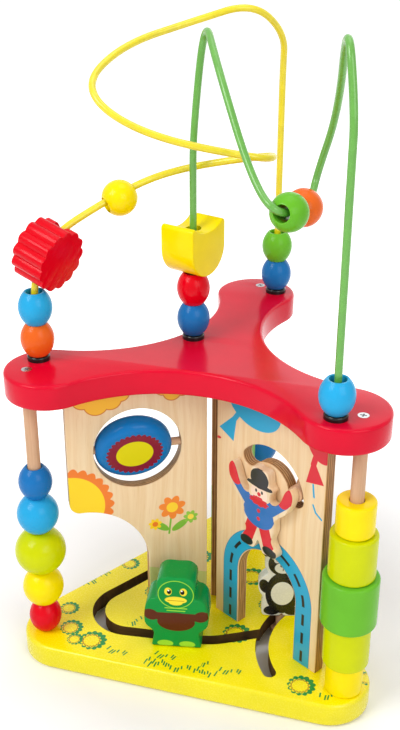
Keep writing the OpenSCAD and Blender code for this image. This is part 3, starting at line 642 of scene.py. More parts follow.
def tuft_group(pitch=2.1, other_seed=41.7):
    """A row of short printed grass strokes along a line, each with its own lift, lean and height."""
    d, taken, given = new_group("grass_tufts", ["Place", "Centre"], ["Turn", "Length", "Height"], ["Mask"])
    x, y, _ = d.parts(centred(d, taken))
    row = d.reckon("DIVIDE", x, pitch)
    index = d.reckon("FLOOR", row)
    luck, other = [d.add("ShaderNodeTexWhiteNoise", {"W": w}, noise_dimensions="1D")
                   for w in (index, d.plus(index, other_seed))]
    lift = d.times(d.less(luck, 0.5), d.times(taken["Height"], 1.1))
    y = d.less(y, lift)
    lean = d.times(d.less(other, 0.5), 1.6)
    across = d.less(d.less(d.reckon("FRACT", row), 0.5), d.times(y, d.times(lean, 0.16)))
    tall = d.times(taken["Height"], d.plus(0.22, d.times(other, 0.3)))
    slim = d.ramp(d.size(across), 0.36, 0.24)
    short = d.inside(d.less(d.size(y), tall), 0.2)
    near = d.inside(d.less(d.size(x), d.times(taken["Length"], 0.5)), 0.1)
    seen = d.reckon("GREATER_THAN", d.plus(luck, other), 0.36)
    d.feed(given["Mask"], d.times(d.times(slim, short), d.times(near, seen)))
    return d.tree


def lacquer_group():
    """Brushed-on lacquer over wood: faint tone, roughness and ripple."""
    d, taken, given = new_group("lacquer", ["Place"], ["Rough"], ["Tone", "Rough", "Height"])
    broad = d.noise(taken["Place"], 0.06, Detail=2)
    fine = d.noise(taken["Place"], 0.7, Detail=3)
    blotch = d.plus(d.times(broad, 0.7), d.times(fine, 0.3))
    d.feed(given["Tone"], d.ramp(blotch, 0.3, 0.7, 0.95, 1.03))
    d.feed(given["Rough"], d.plus(taken["Rough"], d.ramp(fine, 0.3, 0.75, -0.03, 0.07)))
    d.feed(given["Height"], d.plus(broad, d.times(fine, 0.25)))
    return d.tree


def grain_group():
    """Straight wood grain; Place is in millimetres with the grain along its second axis."""
    d, taken, given = new_group("wood_grain", ["Place"], ["Wave"], ["Tone", "Fleck", "Height"])
    x, y, z = d.parts(taken["Place"])
    bend = d.noise(d.joined(d.times(x, 0.02), d.times(y, 0.008), z), Detail=2)
    across = d.plus(x, d.times(d.less(bend, 0.5), taken["Wave"]))
    along = d.joined(d.times(across, 0.22), d.times(y, 0.004), d.times(z, 0.05))
    rings = d.noise(along, Detail=4, Roughness=0.6)
    pores = d.noise(d.joined(d.times(across, 1.6), d.times(y, 0.06), d.times(z, 0.6)), Detail=2)
    d.feed(given["Tone"], d.ramp(rings, 0.3, 0.7))
    d.feed(given["Fleck"], d.ramp(pores, 0.6, 0.74))
    d.feed(given["Height"], d.plus(d.times(rings, 0.4), d.times(pores, -0.5)))
    return d.tree


SPOT, LINE, TUFT, LACQUER, GRAIN = spot_group(), line_group(), tuft_group(), lacquer_group(), grain_group()


class Finish(Drawing):
    """A material with its Principled shader; marks are printed on its sheet, within its face."""

    def __init__(self, name, **shader_values):
        self.material = bpy.data.materials.new(name)
        self.material.use_nodes = True
        super().__init__(self.material.node_tree)
        self.shader = self.tree.nodes["Principled BSDF"]
        self.sheet = self.face = self.colour = None
        for key, value in shader_values.items():
            self.feed(self.shader.inputs[key.replace("_", " ")], value)

    def place(self):
        """Object coordinates in millimetres."""
        metres = self.add("ShaderNodeTexCoord", output="Object")
        return self.vector("MULTIPLY", metres, (1000.0, 1000.0, 1000.0))

    def draw_on(self, origin, angle):
        """Lays the sheet (along, up) on an upright face turned by angle about Z; returns the depth."""
        p = self.vector("SUBTRACT", self.place(), tuple(origin))
        x, depth, z = self.parts(self.rotated(p, -math.radians(angle)))
        self.sheet = self.joined(x, z, 0.0)
        return depth

    def spot(self, centre, radii, turn=0.0, scallops=0.0, depth=0.0):
        rx, ry = (radii, radii) if isinstance(radii, (int, float)) else radii
        return self.group(SPOT, Place=self.sheet, Centre=centre, Radii=(rx, ry, 1), Turn=math.radians(turn),
                          Scallops=scallops, Depth=depth)["Mask"]

    def line(self, start, end, width):
        return self.group(LINE, Place=self.sheet, From=start, To=end, Width=width)["Mask"]

    def pair(self, centre, radii, turn=0):
        """Two spots, mirrored left and right."""
        x, y = centre
        return self.either(self.spot((-x, y), radii, turn), self.spot((x, y), radii, -turn))

    def limbs(self, start, end, width):
        """Two strokes, mirrored left and right."""
        strokes = [((side * start[0], start[1]), (side * end[0], end[1])) for side in (-1, 1)]
        return self.either(*[self.line(a, b, width) for a, b in strokes])

    def triangle(self, *corners):
        """A filled three-cornered mark; its corners run anticlockwise."""
        x, y, _ = self.parts(self.sheet)
        edges = []
        for (ax, ay), (bx, by) in zip(corners, corners[1:] + corners[:1]):
            run = math.hypot(bx - ax, by - ay)
            nx, ny = (ay - by) / run, (bx - ax) / run
            side = self.plus(self.times(x, nx), self.times(y, ny))
            edges.append(self.ramp(self.less(side, nx * ax + ny * ay), -0.15, 0.15))
        return self.times(self.times(edges[0], edges[1]), edges[2])

    def stamp(self, code, *masks):
        """Prints marks of one colour over what is there."""
        mask = self.either(*masks)
        if self.face is not None:
            mask = self.times(self.face, mask)
        self.colour = self.over(self.colour, mask, ink(code))

    def bump(self, height, strength, distance):
        relief = {"Strength": strength, "Distance": distance * MM, "Height": height}
        self.feed(self.shader.inputs["Normal"], self.add("ShaderNodeBump", relief))

    def lacquer(self, rough, strength=0.1):
        """Sets the roughness and ripple of brushed lacquer, and returns its tone."""
        film = self.group(LACQUER, Place=self.place(), Rough=rough)
        self.feed(self.shader.inputs["Roughness"], film["Rough"])
        self.bump(film["Height"], strength, 0.25)
        return film["Tone"]

    def grained(self, place, wave, dark, light, relief):
        """Sets the relief of wood grain, and returns its colour and its flecks."""
        grain = self.group(GRAIN, Place=place, Wave=wave)
        self.bump(grain["Height"], *relief)
        return self.over(ink(dark), grain["Tone"], ink(light)), grain["Fleck"]

    def mottled(self, code, noise, tones, roughs, relief):
        """A plain colour whose tone, roughness and relief follow one noise."""
        self.bump(noise, *relief)
        colour = self.toned(ink(code), self.ramp(noise, 0.3, 0.7, *tones))
        return self.finish(colour, self.ramp(noise, 0.3, 0.7, *roughs))

    def finish(self, colour, rough=None):
        self.feed(self.shader.inputs["Base Color"], colour)
        if rough is not None:
            self.feed(self.shader.inputs["Roughness"], rough)
        return self.material


def painted(name, code, rough=0.2, coat=0.08):
    f = Finish(name, Coat_Weight=coat, Coat_Roughness=0.08, Specular_IOR_Level=0.1)
    return f.finish(f.toned(ink(code), f.lacquer(rough, 0.12)))


def bare_wood(name, light, dark, upright_grain=True, rough=0.55):
    f = Finish(name, Specular_IOR_Level=0.3)
    x, y, z = f.parts(f.place())
    along = f.joined(f.plus(x, y), z, f.less(x, y)) if upright_grain else f.joined(y, x, z)
    colour, fleck = f.grained(along, 6.0, dark, light, (0.25, 0.2))
    return f.finish(f.over(colour, f.times(fleck, 0.35), ink(dark)), rough)


def plated_steel():
    f = Finish("plated_steel", Metallic=1.0)
    return f.mottled("C9CACC", f.noise(f.place(), 0.9, Detail=3), (0.9, 1.0), (0.16, 0.3), (0.1, 0.05))


def coated_wire(name, code):
    f = Finish(name, Specular_IOR_Level=0.5, Coat_Weight=0.2, Coat_Roughness=0.1)
    return f.mottled(code, f.noise(f.place(), 0.12, Detail=2), (0.94, 1.03), (0.2, 0.32), (0.1, 0.3))


# The print on the base: bushes (x, y, radius) and rows of grass from point to point
BUSHES = [(-85.8, 29.5, 8.4), (-113.5, -43.6, 8.3), (-102.2, -66.1, 9.7), (-93.8, -78.7, 6.9),
          (-79.6, -76, 11.4), (92, -78.5, 11.1), (29.4, -34.3, 11.9), (23.9, 42.7, 12.4),
          (44.9, 8.2, 8), (139, -56, 8), (-28, 58, 10), (30, 92, 9), (-20, 118, 8), (-52, -2, 9), (84, 30, 9)]
TUFTS = [((-118.8, -14.1), (-98.2, 12)), ((-60.9, -46.9), (-48.9, -40.1)), ((-64.2, -78.8), (-49.5, -85.9)),
         ((-26.3, -73.2), (-10.3, -79.9)), ((-31.6, -86.3), (26.5, -86.9)), ((27.4, -77), (43.6, -80.4)),
         ((106.8, -82.8), (122.9, -82.6)), ((12.5, -75.3), (18.4, -75.5)), ((-60, 60), (-40, 84)),
         ((52, 44), (66, 30)), ((-12, 80), (-8, 96))]
TUFT_H, LEAF_GREEN, BUSH_BROWN = 7, "1C8E3C", "B98A08"


def bush(f, x, y, r):
    """A brown inner ring and a green scalloped outer ring, both a little off centre."""
    heart = (x - 0.1 * r, y - 0.06 * r)
    f.stamp(BUSH_BROWN, f.without(f.spot(heart, 0.68 * r, 8, 15, 0.12), f.spot(heart, 0.58 * r, 8, 15, 0.12)))
    hollow = f.spot((x - 0.12 * r, y - 0.08 * r), 0.74 * r, 20, 13, 0.16)
    f.stamp(LEAF_GREEN, f.without(f.spot((x, y), r, 20, 13, 0.16), hollow))


def grass(f, start, end):
    (ax, ay), (bx, by) = start, end
    strokes = f.group(TUFT, Place=f.sheet, Centre=((ax + bx) / 2, (ay + by) / 2), Height=TUFT_H,
                      Turn=math.atan2(by - ay, bx - ax), Length=math.hypot(bx - ax, by - ay))
    f.stamp(LEAF_GREEN, strokes["Mask"])


def base_finish():
    f = Finish("base_yellow", Coat_Weight=0.2, Coat_Roughness=0.1, Specular_IOR_Level=0.4)
    x, y, z = f.parts(f.place())
    f.sheet, f.face = f.joined(x, y, 0.0), f.ramp(z, BASE_T - 0.7, BASE_T - 0.3)
    # The sides and rounded edges get a darker yellow (F2E400) than the top (FFEE00): painted shade on the
    # sides.
    f.colour = f.toned(f.over(ink("F2E400"), f.face, ink("FFEE00")), f.lacquer(0.25))
    for x, y, r in BUSHES:
        bush(f, x, y, r)
    for start, end in TUFTS:
        grass(f, start, end)
    return f.finish(f.colour)


class PlyFinish(Finish):
    """Birch plywood: upright grain and prints on both faces, glue lines along the edges."""

    def __init__(self, name, angle):
        super().__init__(name, Specular_IOR_Level=0.35, Coat_Weight=0.12, Coat_Roughness=0.2)
        self.depth = self.draw_on((0, 0, 0), angle)
        self.out, self.up, _ = self.parts(self.sheet)
        grain = self.joined(self.out, self.up, self.times(self.depth, 0.2))
        veneer, fleck = self.grained(grain, 14.0, "E9C592", "F6DDB6", (0.12, 0.15))
        self.colour = self.over(veneer, self.times(fleck, 0.3), ink("D3A86E"))

    def sawn_edge(self):
        """Plies with dark glue lines and streaks."""
        ply = self.reckon("FRACT", self.plus(self.times(self.depth, 0.5), 0.5))
        edge = self.over(ink("C99B63"), self.ramp(self.size(self.less(ply, 0.5)), 0.32, 0.4), ink("7A5028"))
        streak = self.noise(self.joined(self.times(self.out, 0.25), self.times(self.up, 0.06), self.depth))
        return self.over(edge, self.ramp(streak, 0.45, 0.7, 0.0, 0.55), ink("5E3C1C"))

    def finished(self):
        face = self.ramp(self.size(self.depth), PANEL_T / 2 - 0.8, PANEL_T / 2 - 0.5)
        return self.finish(self.over(self.sawn_edge(), face, self.colour), self.ramp(face, 0, 1, 0.6, 0.36))


# Prints on the panels
SKY_BLUE, BRIGHT_RED, SUN_ORANGE, WARM_YELLOW = "1FA6D3", "D8122C", "EF7B1A", "FFD21E"
ROAD_R, ROAD_HALF_W, ROAD_MIDDLE, DASH_START, DASH_PITCH = 39.2, 7.6, 39.0, 107.0, 17.5
STRING = [((105.7, 186), (107.1, 176.2)), ((106.7, 169.3), (109.3, 164)), ((109.3, 164), (115, 160.6))]


def cloud(f, puffs):
    f.stamp("CF7A10", *[f.spot((x, y), r + 0.9) for x, y, r in puffs])
    f.stamp("F6B91A", *[f.spot((x, y), r) for x, y, r in puffs])


def sun(f, centre, outer_r, inner_r, rays, depth):
    f.stamp(SUN_ORANGE, f.spot(centre, outer_r, 0, rays, depth))
    f.stamp("FFD60A", f.spot(centre, inner_r))


def stem(f, x, y, r):
    """The stalk of a flower with two leaves."""
    leaf = (0.7 * r, 0.28 * r)
    f.stamp("7DB832", f.line((x, y), (x + 0.25 * r, y - 2.2 * r), 1.6),
            f.spot((x - 0.55 * r, y - 1.6 * r), leaf, -35), f.spot((x + 0.85 * r, y - 1.5 * r), leaf, 35))


def bloom(f, x, y, r, petal, heart):
    f.stamp(petal, f.spot((x, y), r, 10, 7, 0.34))
    f.stamp(heart, f.spot((x, y), 0.42 * r))


def road(f):
    """The road round the doorway, with its dashes."""
    side = f.size(f.less(f.out, DOOR_AT))
    rise = f.less(f.up, BASE_T + DOOR_UP)
    above = f.reckon("MAXIMUM", rise, 0.0)
    reach = f.reach(side, above)
    band = f.less(f.size(f.less(reach, ROAD_R)), ROAD_HALF_W)
    f.stamp("0F6FA0", f.ramp(band, 0.5, 0.3))
    f.stamp(SKY_BLUE, f.inside(band, 0.1))
    along = f.plus(f.times(f.reckon("ARCTAN2", above, side), ROAD_R), f.reckon("MINIMUM", rise, 0.0))
    dash = f.reckon("FRACT", f.reckon("DIVIDE", f.plus(along, DASH_START), DASH_PITCH))
    long = f.ramp(f.size(f.less(dash, 0.5)), 0.31, 0.29)
    slim = f.ramp(f.size(f.less(reach, ROAD_MIDDLE)), 1.45, 1.2)
    f.stamp("16181C", f.times(long, slim))


def left_panel_finish():
    f = PlyFinish("left_panel_print", LEFT)
    f.stamp("A9CF5A", f.times(f.line((4, 46), (60, 61), 17), 0.5))
    cloud(f, [(74, 229, 6), (82, 225, 8), (93, 222.5, 9), (103, 227, 7.5), (88, 232, 12), (100, 233, 9)])
    cloud(f, [(21, 232, 5), (27, 228.5, 6), (35, 226, 6.5), (42, 230, 5.5), (33, 233, 9)])
    sun(f, (117, 134), 35, 27.5, 26, 0.09)
    stem(f, 36, 123, 11)
    bloom(f, 36, 123, 11, "F2851E", WARM_YELLOW)
    bloom(f, 21, 112, 6, "8FC63D", "FFE04A")
    bloom(f, 50, 109, 5.5, WARM_YELLOW, SUN_ORANGE)
    return f.finished()


def right_panel_finish():
    f = PlyFinish("right_panel_print", RIGHT)
    f.stamp(SKY_BLUE, f.spot((46, 227), (27, 19), -8), f.line((26, 208), (35, 221), 4.5),
            f.triangle((29, 214), (10, 195.3), (25.4, 188.4)))
    f.stamp(BRIGHT_RED, f.spot((112, 226), (15, 20), 8), f.line((105, 202), (108, 213), 5),
            f.triangle((104.5, 208), (98.9, 185.4), (115.6, 189.3)))
    f.stamp(SKY_BLUE, *[f.line(start, end, 1.7) for start, end in STRING])
    f.stamp(BRIGHT_RED, f.spot((9.4, 185.7), (2.6, 1.2), 10))
    road(f)
    return f.finished()


def rear_panel_finish():
    f = PlyFinish("rear_panel_print", REAR)
    f.stamp("8FC63D", f.spot((10, 96), (46, 34)), f.spot((118, 90), (52, 42)))
    sun(f, (88, 196), 24, 18.5, 20, 0.1)
    cloud(f, [(26, 208, 7), (36, 204, 9), (48, 207, 8), (38, 212, 10)])
    stem(f, 30, 152, 11)
    bloom(f, 30, 152, 11, BRIGHT_RED, WARM_YELLOW)
    stem(f, 98, 150, 9)
    bloom(f, 98, 150, 9, SKY_BLUE, "FFE04A")
    return f.finished()


# Prints on the disc and the figures
def disc_finish(centre):
    f = Finish("disc_print", Coat_Weight=0.1, Coat_Roughness=0.06, Specular_IOR_Level=0.1)
    p = f.rotated(f.vector("SUBTRACT", f.place(), tuple(centre)), -math.radians(LEFT))
    x, y, z = f.parts(f.rotated(p, math.radians(DISC_TILT), "X"))
    f.sheet, f.face = f.joined(x, z, 0.0), f.ramp(f.size(y), DISC_T / 2 - 0.9, DISC_T / 2 - 0.5)
    f.colour = f.toned(ink("0F78C0"), f.lacquer(0.2))
    f.stamp("8E1E3A", f.spot((0, 0), 22.4, 0, 30, 0.09))
    f.stamp("E9DC1C", f.spot((0, 0), 14.4))
    return f.finish(f.colour)


def duck_finish():
    f = Finish("duck_print", Coat_Weight=0.08, Coat_Roughness=0.08, Specular_IOR_Level=0.1)
    f.face = f.ramp(f.draw_on(DUCK_AT, DUCK_TURN), -10.9, -11.4)
    f.colour = f.toned(ink("0F9440"), f.lacquer(0.22))
    lime, yellow = "9EDB3A", "F7E13A"
    head = f.spot((0, 51.5), (13.5, 12.5))
    f.stamp(lime, f.without(f.spot((0, 51.5), (14.2, 13.2)), head))
    f.stamp("0C8E3A", head)
    f.stamp(lime, f.line((-8.5, 38.3), (8.5, 38.3), 0.9), f.line((-7, 35.8), (7, 35.8), 0.9))
    f.stamp("5E2A14", f.spot((0, 25), (15, 9)), f.line((-18, 30), (18, 30), 7),
            f.pair((20, 31), (6.4, 5), -25))
    f.stamp(lime, f.pair((8.8, 3.2), (6.4, 3.1)))
    f.stamp(yellow, f.spot((0, 46.2), (8.6, 3.3)), f.spot((0, 43.8), (5.4, 2.6)))
    f.stamp("B98A08", f.line((-6.4, 45.6), (6.4, 45.6), 0.6))
    f.stamp(yellow, f.pair((6, 54.2), (2.9, 3.7)))
    f.stamp("101010", f.pair((5.2, 54), (1.7, 2.3)))
    f.stamp("FFFFFF", f.spot((-5.7, 55.2), 0.75), f.spot((4.7, 55.2), 0.75))
    return f.finish(f.colour)


def bear_finish():
    f = Finish("bear_print", Coat_Weight=0.2, Coat_Roughness=0.1, Specular_IOR_Level=0.45)
    f.face = f.ramp(f.size(f.draw_on(BEAR_AT, BEAR_TURN)), 4.0, 4.4)
    f.sheet = f.vector("MULTIPLY", f.sheet, (0.9, 0.9, 1))
    white, black = "F2F0EA", "141414"
    f.colour = f.toned(ink(white), f.lacquer(0.25))
    f.stamp(black, f.spot((0, 47.5), 11), f.pair((12.6, 58), 4.4), f.spot((0, 21), (12.5, 18.5)),
            f.pair((13.2, 27), (3.8, 6.4), 18), f.pair((7.5, 5), (6, 4.2)))
    f.stamp(white, f.spot((0, 20.5), (8.4, 10.5)), f.pair((12.6, 58), 2.4), f.spot((0, 43.4), (6.2, 4.8)),
            f.pair((4.6, 50.4), (2.3, 2.7)))
    f.stamp(black, f.spot((0, 45.4), (2.3, 1.6)), f.pair((4.2, 50.2), 1.2), f.line((0, 44), (0, 41.2), 0.6))
    return f.finish(f.colour)


def jester_finish(place):
    f = Finish("jester_print", Coat_Weight=0.15, Coat_Roughness=0.15, Specular_IOR_Level=0.4)
    depth = f.draw_on(place, RIGHT)
    f.face = f.ramp(depth, -3.1, -3.4)
    x, y, _ = f.parts(f.sheet)
    grain = f.joined(x, y, f.times(depth, 0.4))
    f.colour, _ = f.grained(grain, 8.0, "E6C598", "F7E3C4", (0.1, 0.15))
    red, black = BRIGHT_RED, "17181B"
    f.stamp(red, f.limbs((5, 26), (10.5, 10), 11))
    f.stamp(black, f.pair((12, 4.3), (7, 4.2), 6))
    f.stamp("1E6DB8", f.spot((0, 33), (15.6, 12)), f.spot((0, 40), (13, 8)),
            f.limbs((10, 40), (25, 55), 10.5))
    f.stamp(red, f.pair((29.2, 62.4), (4.8, 5.8), 20), f.limbs((24, 54.5), (27, 58), 11))
    f.stamp(red, f.spot((0, 29), 1.7), f.spot((0, 36), 1.7))
    f.stamp("F8DCC6", f.spot((0, 51.5), (8.4, 7.6)))
    f.stamp(red, f.spot((0, 44.2), (10.2, 4), 0, 9, 0.22))
    f.stamp(black, f.pair((3, 53), (1, 1.5)))
    f.stamp(red, f.spot((0, 50.6), 1.8), f.line((-2.8, 47.8), (2.8, 47.8), 0.9))
    f.stamp(black, f.spot((0, 58.3), (13.4, 2.4)), f.spot((0, 64), (9.2, 8.4)))
    return f.finish(f.colour, 0.32)


# The frame: base, plate, posts and panels
POST_WOOD = bare_wood("post_wood", "E2BC98", "C89B76")


def is_inside(point):
    """Whether a plan point lies clear of the base board's outer edge."""
    for k in range(72):
        n = polar(1, 5 * k)
        reach = max(polar(LOBE_REACH, a).dot(n) for a in CORNERS) + LOBE_R
        if n.dot(point) > reach - BASE_EDGE - 0.5:
            return False
    return True


def trench(name, path, width, low, high):
    """The cutter for a slot along a plan path, between two heights."""
    return raised(board(name, ribbon(path, width), high - low), (low + high) / 2)


def make_base():
    base = raised(board("base_board", base_outline(), BASE_T, BASE_EDGE), BASE_T / 2)
    tracks = {"main": rounded_path(TRACK_CORNERS, 4), "cross": arc(CROSS_AT, CROSS_R, *CROSS_SWEEP, 30)}
    for tag, path in tracks.items():
        cut(base, trench("slot_" + tag, path, TRACK_W, CHANNEL_H - PAST, BASE_T + 2 * PAST),
            trench("channel_" + tag, path, CHANNEL_W, -PAST, CHANNEL_H))
    hand_in(settle(base), FRAME, "base_paint", base_finish(), "base_board")
    # The slot walls are bare wood painted a far darker brown than the posts' wood: partly the wood's own
    # colour, partly painted shade inside the slot.
    base.data.materials.append(bare_wood("track_wood", "6E5020", "3A2710", False, 0.7))
    for face in base.data.polygons:
        if abs(face.normal.z) < 0.5 and is_inside(face.center.to_2d() / MM):
            face.material_index = 1


def make_plate():
    plate = raised(board("top_plate", plate_outline(), PLATE_T, PLATE_EDGE), PLATE_LOW + PLATE_T / 2)
    for foot in FEET.values():
        cut(plate, moved(rod("collar_hole", STEM_HOLE_D, -STEM - 0.1, 2), shift(*foot, PLATE_TOP)))
    for angle in CORNERS:
        cut(plate, moved(turned("screw_sink", SCREW_SINK, 40), shift(*polar(POST_REACH, angle), PLATE_TOP)))
    hand_in(settle(plate), FRAME, "plate_paint", painted("plate_red", "DF002B", 0.2, 0.12), "top_plate")


def make_posts():
    for side, angle in SIDES.items():
        node = side + "_post"
        low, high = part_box(node)
        post = rod(node, POST_D, low[2] / MM, high[2] / MM)
        hand_in(settle(post, shift(*polar(POST_REACH, angle), 0)), FRAME, "bare_wood", POST_WOOD, node)


def make_panels():
    window = arc(WINDOW_AT, WINDOW_R, 0, 360, 96)[:-1]
    slot = ribbon(arc(SLOT_AT, SLOT_R, *SLOT_SWEEP, 40), SLOT_W)
    for side, outline, holes, finish in (("left", left_outline(), [window], left_panel_finish()),
                                         ("right", arch_outline(), [slot], right_panel_finish()),
                                         ("rear", arch_outline(), [], rear_panel_finish())):
        name = side + "_panel"
        panel = board(name, outline, PANEL_T, PANEL_EDGE, holes)
        hand_in(settle(panel, upright(SIDES[side])), FRAME, "panel_ply", finish, name)


def make_disc():
    """The disc in the left panel's window, with the axle it turns on."""
    out, up = WINDOW_AT
    axle = rod("disc_axle", AXLE_D, out - WINDOW_R - AXLE_PAST, out + WINDOW_R + AXLE_PAST)
    axle_wood = bare_wood("axle_wood", "E2BC98", "C89B76", False)
    lying = turn_z(LEFT) @ shift(0, 0, up) @ ALONG_X
    hand_in(settle(axle, lying), FRAME, "bare_wood", axle_wood, "disc_axle")
    rim = arc((DISC_R - DISC_SOFT, DISC_T / 2 - DISC_SOFT), DISC_SOFT, 90, 0, 12)
    disc = turned("spin_disc", [(0, DISC_T / 2)] + rim + mirrored(rim) + [(0, -DISC_T / 2)], 96)
    cut(disc, moved(rod("disc_bore", DISC_BORE, -DISC_R - 10, DISC_R + 10), ALONG_X))
    tilt = Matrix.Rotation(math.radians(90 - DISC_TILT), 4, "X")
    place = turn_z(LEFT) @ shift(out + DISC_SHIFT, 0, up) @ tilt
    hand_in(settle(disc, place), "disc", "disc_paint", disc_finish(place.to_translation() / MM), "spin_disc")


# Wires, collars and screws
def make_wires():
    left, right = wire_route("left", LEFT_SHARES, "rear"), wire_route("middle", RIGHT_SHARES, "right")
    for name, route, coat, code in (("left_wire", left, "yellow_coat", "EFDC1C"),
                                    ("right_wire", right, "green_coat", "68AE45")):
        hand_in(bent_wire(name, route), FRAME, coat, coated_wire(coat, code), name)


def make_collars():
    black = painted("black_plastic", "141416", 0.14, 0.5)
    stem_side = [(COLLAR_BORE_R, -STEM), (STEM_R, -STEM), (STEM_R, 0), (COLLAR_R, 0)]
    edge = arc((COLLAR_R - COLLAR_SOFT, COLLAR_H - COLLAR_SOFT), COLLAR_SOFT, 0, 90, 8)
    bore_side = [(COLLAR_BORE_R + 0.55, COLLAR_H), (COLLAR_BORE_R, COLLAR_H - 0.5), (COLLAR_BORE_R, -STEM)]
    collar = turned("wire_collar", stem_side + edge + bore_side, 64)
    for tag, foot in FEET.items():
        twin = copy_of(collar, "collar_" + tag, shift(*foot, PLATE_TOP))
        hand_in(twin, FRAME, "black_plastic", black, "wire_collars")
    discard(collar)


def make_screws():
    steel = plated_steel()
    screw = cut(turned("screw", SCREW, 40), board("driver_cross", driver_cross(), 2 * DRIVER_DEPTH))
    settle(screw)
    for side, angle in SIDES.items():
        spot = polar(POST_REACH, angle)
        above = shift(*spot, PLATE_TOP) @ turn_z(angle + 25)
        hand_in(copy_of(screw, "plate_screw_" + side, above), FRAME, "steel", steel, "plate_screws")
        under = shift(*spot, 0) @ Matrix.Rotation(math.pi, 4, "X") @ turn_z(angle - 10)
        hand_in(copy_of(screw, "base_screw_" + side, under), FRAME, "steel", steel, "base_screws")
    discard(screw)


# Beads and blocks
LACQUERS = {"orange": "F06A20", "sky": "29ABE2", "blue": "1B75BC", "red": "E2001A", "green": "6DBE2D",
            "lime": "D3DB00", "yellow": "FFE600"}
PAINT = {name: painted(name + "_lacquer", code) for name, code in LACQUERS.items()}


def hand_in_bead(obj, node, paint):
    """Gives a painted bead its paint and the body of the same name as its node, and hides that node."""
    hand_in(obj, node, paint + "_paint", PAINT[paint], node)


def bead_row(name, profile, **paints):
    """Turns one bead, copies it to each named node and removes the first."""
    master = turned(name, profile)
    for node, paint in paints.items():
        hand_in_bead(copy_of(master, node, Matrix.Translation(middle(node))), node, paint)
    discard(master)


def make_beads():
    bead_row("wire_bead", barrel_profile(25, 24.5, WIRE_BORE), left_bead_low="orange", left_bead_high="sky",
             middle_bead_low="blue", middle_bead_high="red", rear_bead_low="blue", rear_bead_high="green",
             right_bead="sky")
    bead_row("small_round", barrel_profile(26, 26, POST_BORE), left_round_1="red", left_round_5="blue",
             rear_round_1="orange", rear_round_5="yellow")
    bead_row("medium_round", barrel_profile(32.5, 31, POST_BORE), left_round_2="yellow", left_round_4="sky",
             rear_round_2="red", rear_round_4="green")
    bead_row("large_round", barrel_profile(40, 37, POST_BORE), left_round_3="lime", rear_round_3="blue")
    bead_row("small_cylinder", cylinder_profile(28.5, 26.5), right_cylinder_1="yellow",
             right_cylinder_5="yellow")
    bead_row("medium_cylinder", cylinder_profile(35, 36.5), right_cylinder_2="lime", right_cylinder_4="lime")
    bead_row("large_cylinder", cylinder_profile(42, 41), right_cylinder_3="green")


def make_balls():
    """The balls on the bends, each bored along its joint's axis."""
    ball = turned("ball", barrel_profile(26.5, 23.31, WIRE_BORE, 0.3, 32))
    for node, joint, paint in (("strand_ball", "strand_ball_slide", "yellow"),
                               ("valley_ball", "valley_ball_spin", "green"),
                               ("rise_ball", "rise_ball_spin", "orange")):
        way = Vector(joints[joint]["axis"])
        hand_in_bead(copy_of(ball, node, facing(middle(node), way, UP.cross(way))), node, paint)
    discard(ball)


def make_cog():
    """The scalloped block, bored through its side along its joint's axis."""
    cog = board("cog_block", cog_outline(), COG_T, 0.5)
    cut(cog, moved(rod("cog_bore", WIRE_BORE, -30, 30), ALONG_X))
    way = Vector(joints["cog_spin"]["axis"]).normalized()
    level = UP.cross(way).normalized()
    lean = math.radians(COG_LEAN)
    through = -level * math.cos(lean) + way.cross(level) * math.sin(lean)
    hand_in_bead(settle(cog, facing(joints["cog_spin"]["pos_m"], through, way)), "cog_block", "red")


def make_moon():
    moon = moved(board("moon_block", moon_outline(), MOON_T, 1), turn_z(90) @ STAND_UP)
    cut(moon, rod("moon_bore", WIRE_BORE, -5, MOON_H + 5))
    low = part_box("moon_block")[0][2] / MM
    hand_in_bead(settle(moon, shift(*FEET["middle"], low) @ turn_z(MOON_TURN)), "moon_block", "yellow")


# Figures and their pegs: half outlines as shares of half width and height
DUCK = [(0, 0), (0.4, 0), (0.74, 0), (0.76, 0.05), (0.72, 0.14), (0.72, 0.2), (0.82, 0.25), (0.95, 0.3),
        (1, 0.38), (0.98, 0.52), (0.92, 0.62), (0.8, 0.68), (0.62, 0.71), (0.58, 0.76), (0.6, 0.86),
        (0.56, 0.94), (0.35, 1), (0, 1)]
BEAR = [(0, 0.03), (0.12, 0), (0.5, 0), (0.8, 0.02), (0.84, 0.14), (0.8, 0.26), (0.96, 0.36), (0.98, 0.48),
        (0.8, 0.56), (0.62, 0.61), (0.74, 0.7), (0.74, 0.82), (0.88, 0.9), (0.78, 0.99), (0.56, 0.97),
        (0.3, 0.96), (0, 0.97)]
JESTER = [(0, 0.13), (0.1, 0.05), (0.2, 0), (0.52, 0), (0.6, 0.06), (0.5, 0.13), (0.42, 0.2), (0.5, 0.32),
          (0.5, 0.45), (0.62, 0.52), (0.85, 0.62), (1, 0.74), (1.04, 0.86), (0.94, 0.93), (0.82, 0.88),
          (0.68, 0.74), (0.52, 0.66), (0.36, 0.66), (0.34, 0.74), (0.42, 0.8), (0.32, 0.85),
          (0.28, 0.96), (0.2, 1), (0, 1)]


def make_figure(name, sawn, place, finish):
    """A figure sawn from board and stood up at its place."""
    hand_in(settle(sawn, place @ STAND_UP), name + "_figure", name + "_paint", finish, name)


def make_figures():
    duck = board("duck", smooth_outline(DUCK, width=51, height=67), thickness=25, edge=1.6)
    make_figure("duck", duck, shift(*DUCK_AT) @ turn_z(DUCK_TURN), duck_finish())
    bear = board("bear", smooth_outline(BEAR, width=40, height=71), thickness=10, edge=0.8)
    make_figure("bear", bear, shift(*BEAR_AT) @ turn_z(BEAR_TURN), bear_finish())
    jester = board("jester", smooth_outline(JESTER, width=62, height=72), thickness=8, edge=0.6)
    place = turn_z(RIGHT) @ shift(*JESTER_AT)
    make_figure("jester", jester, place, jester_finish(place.to_translation() / MM))


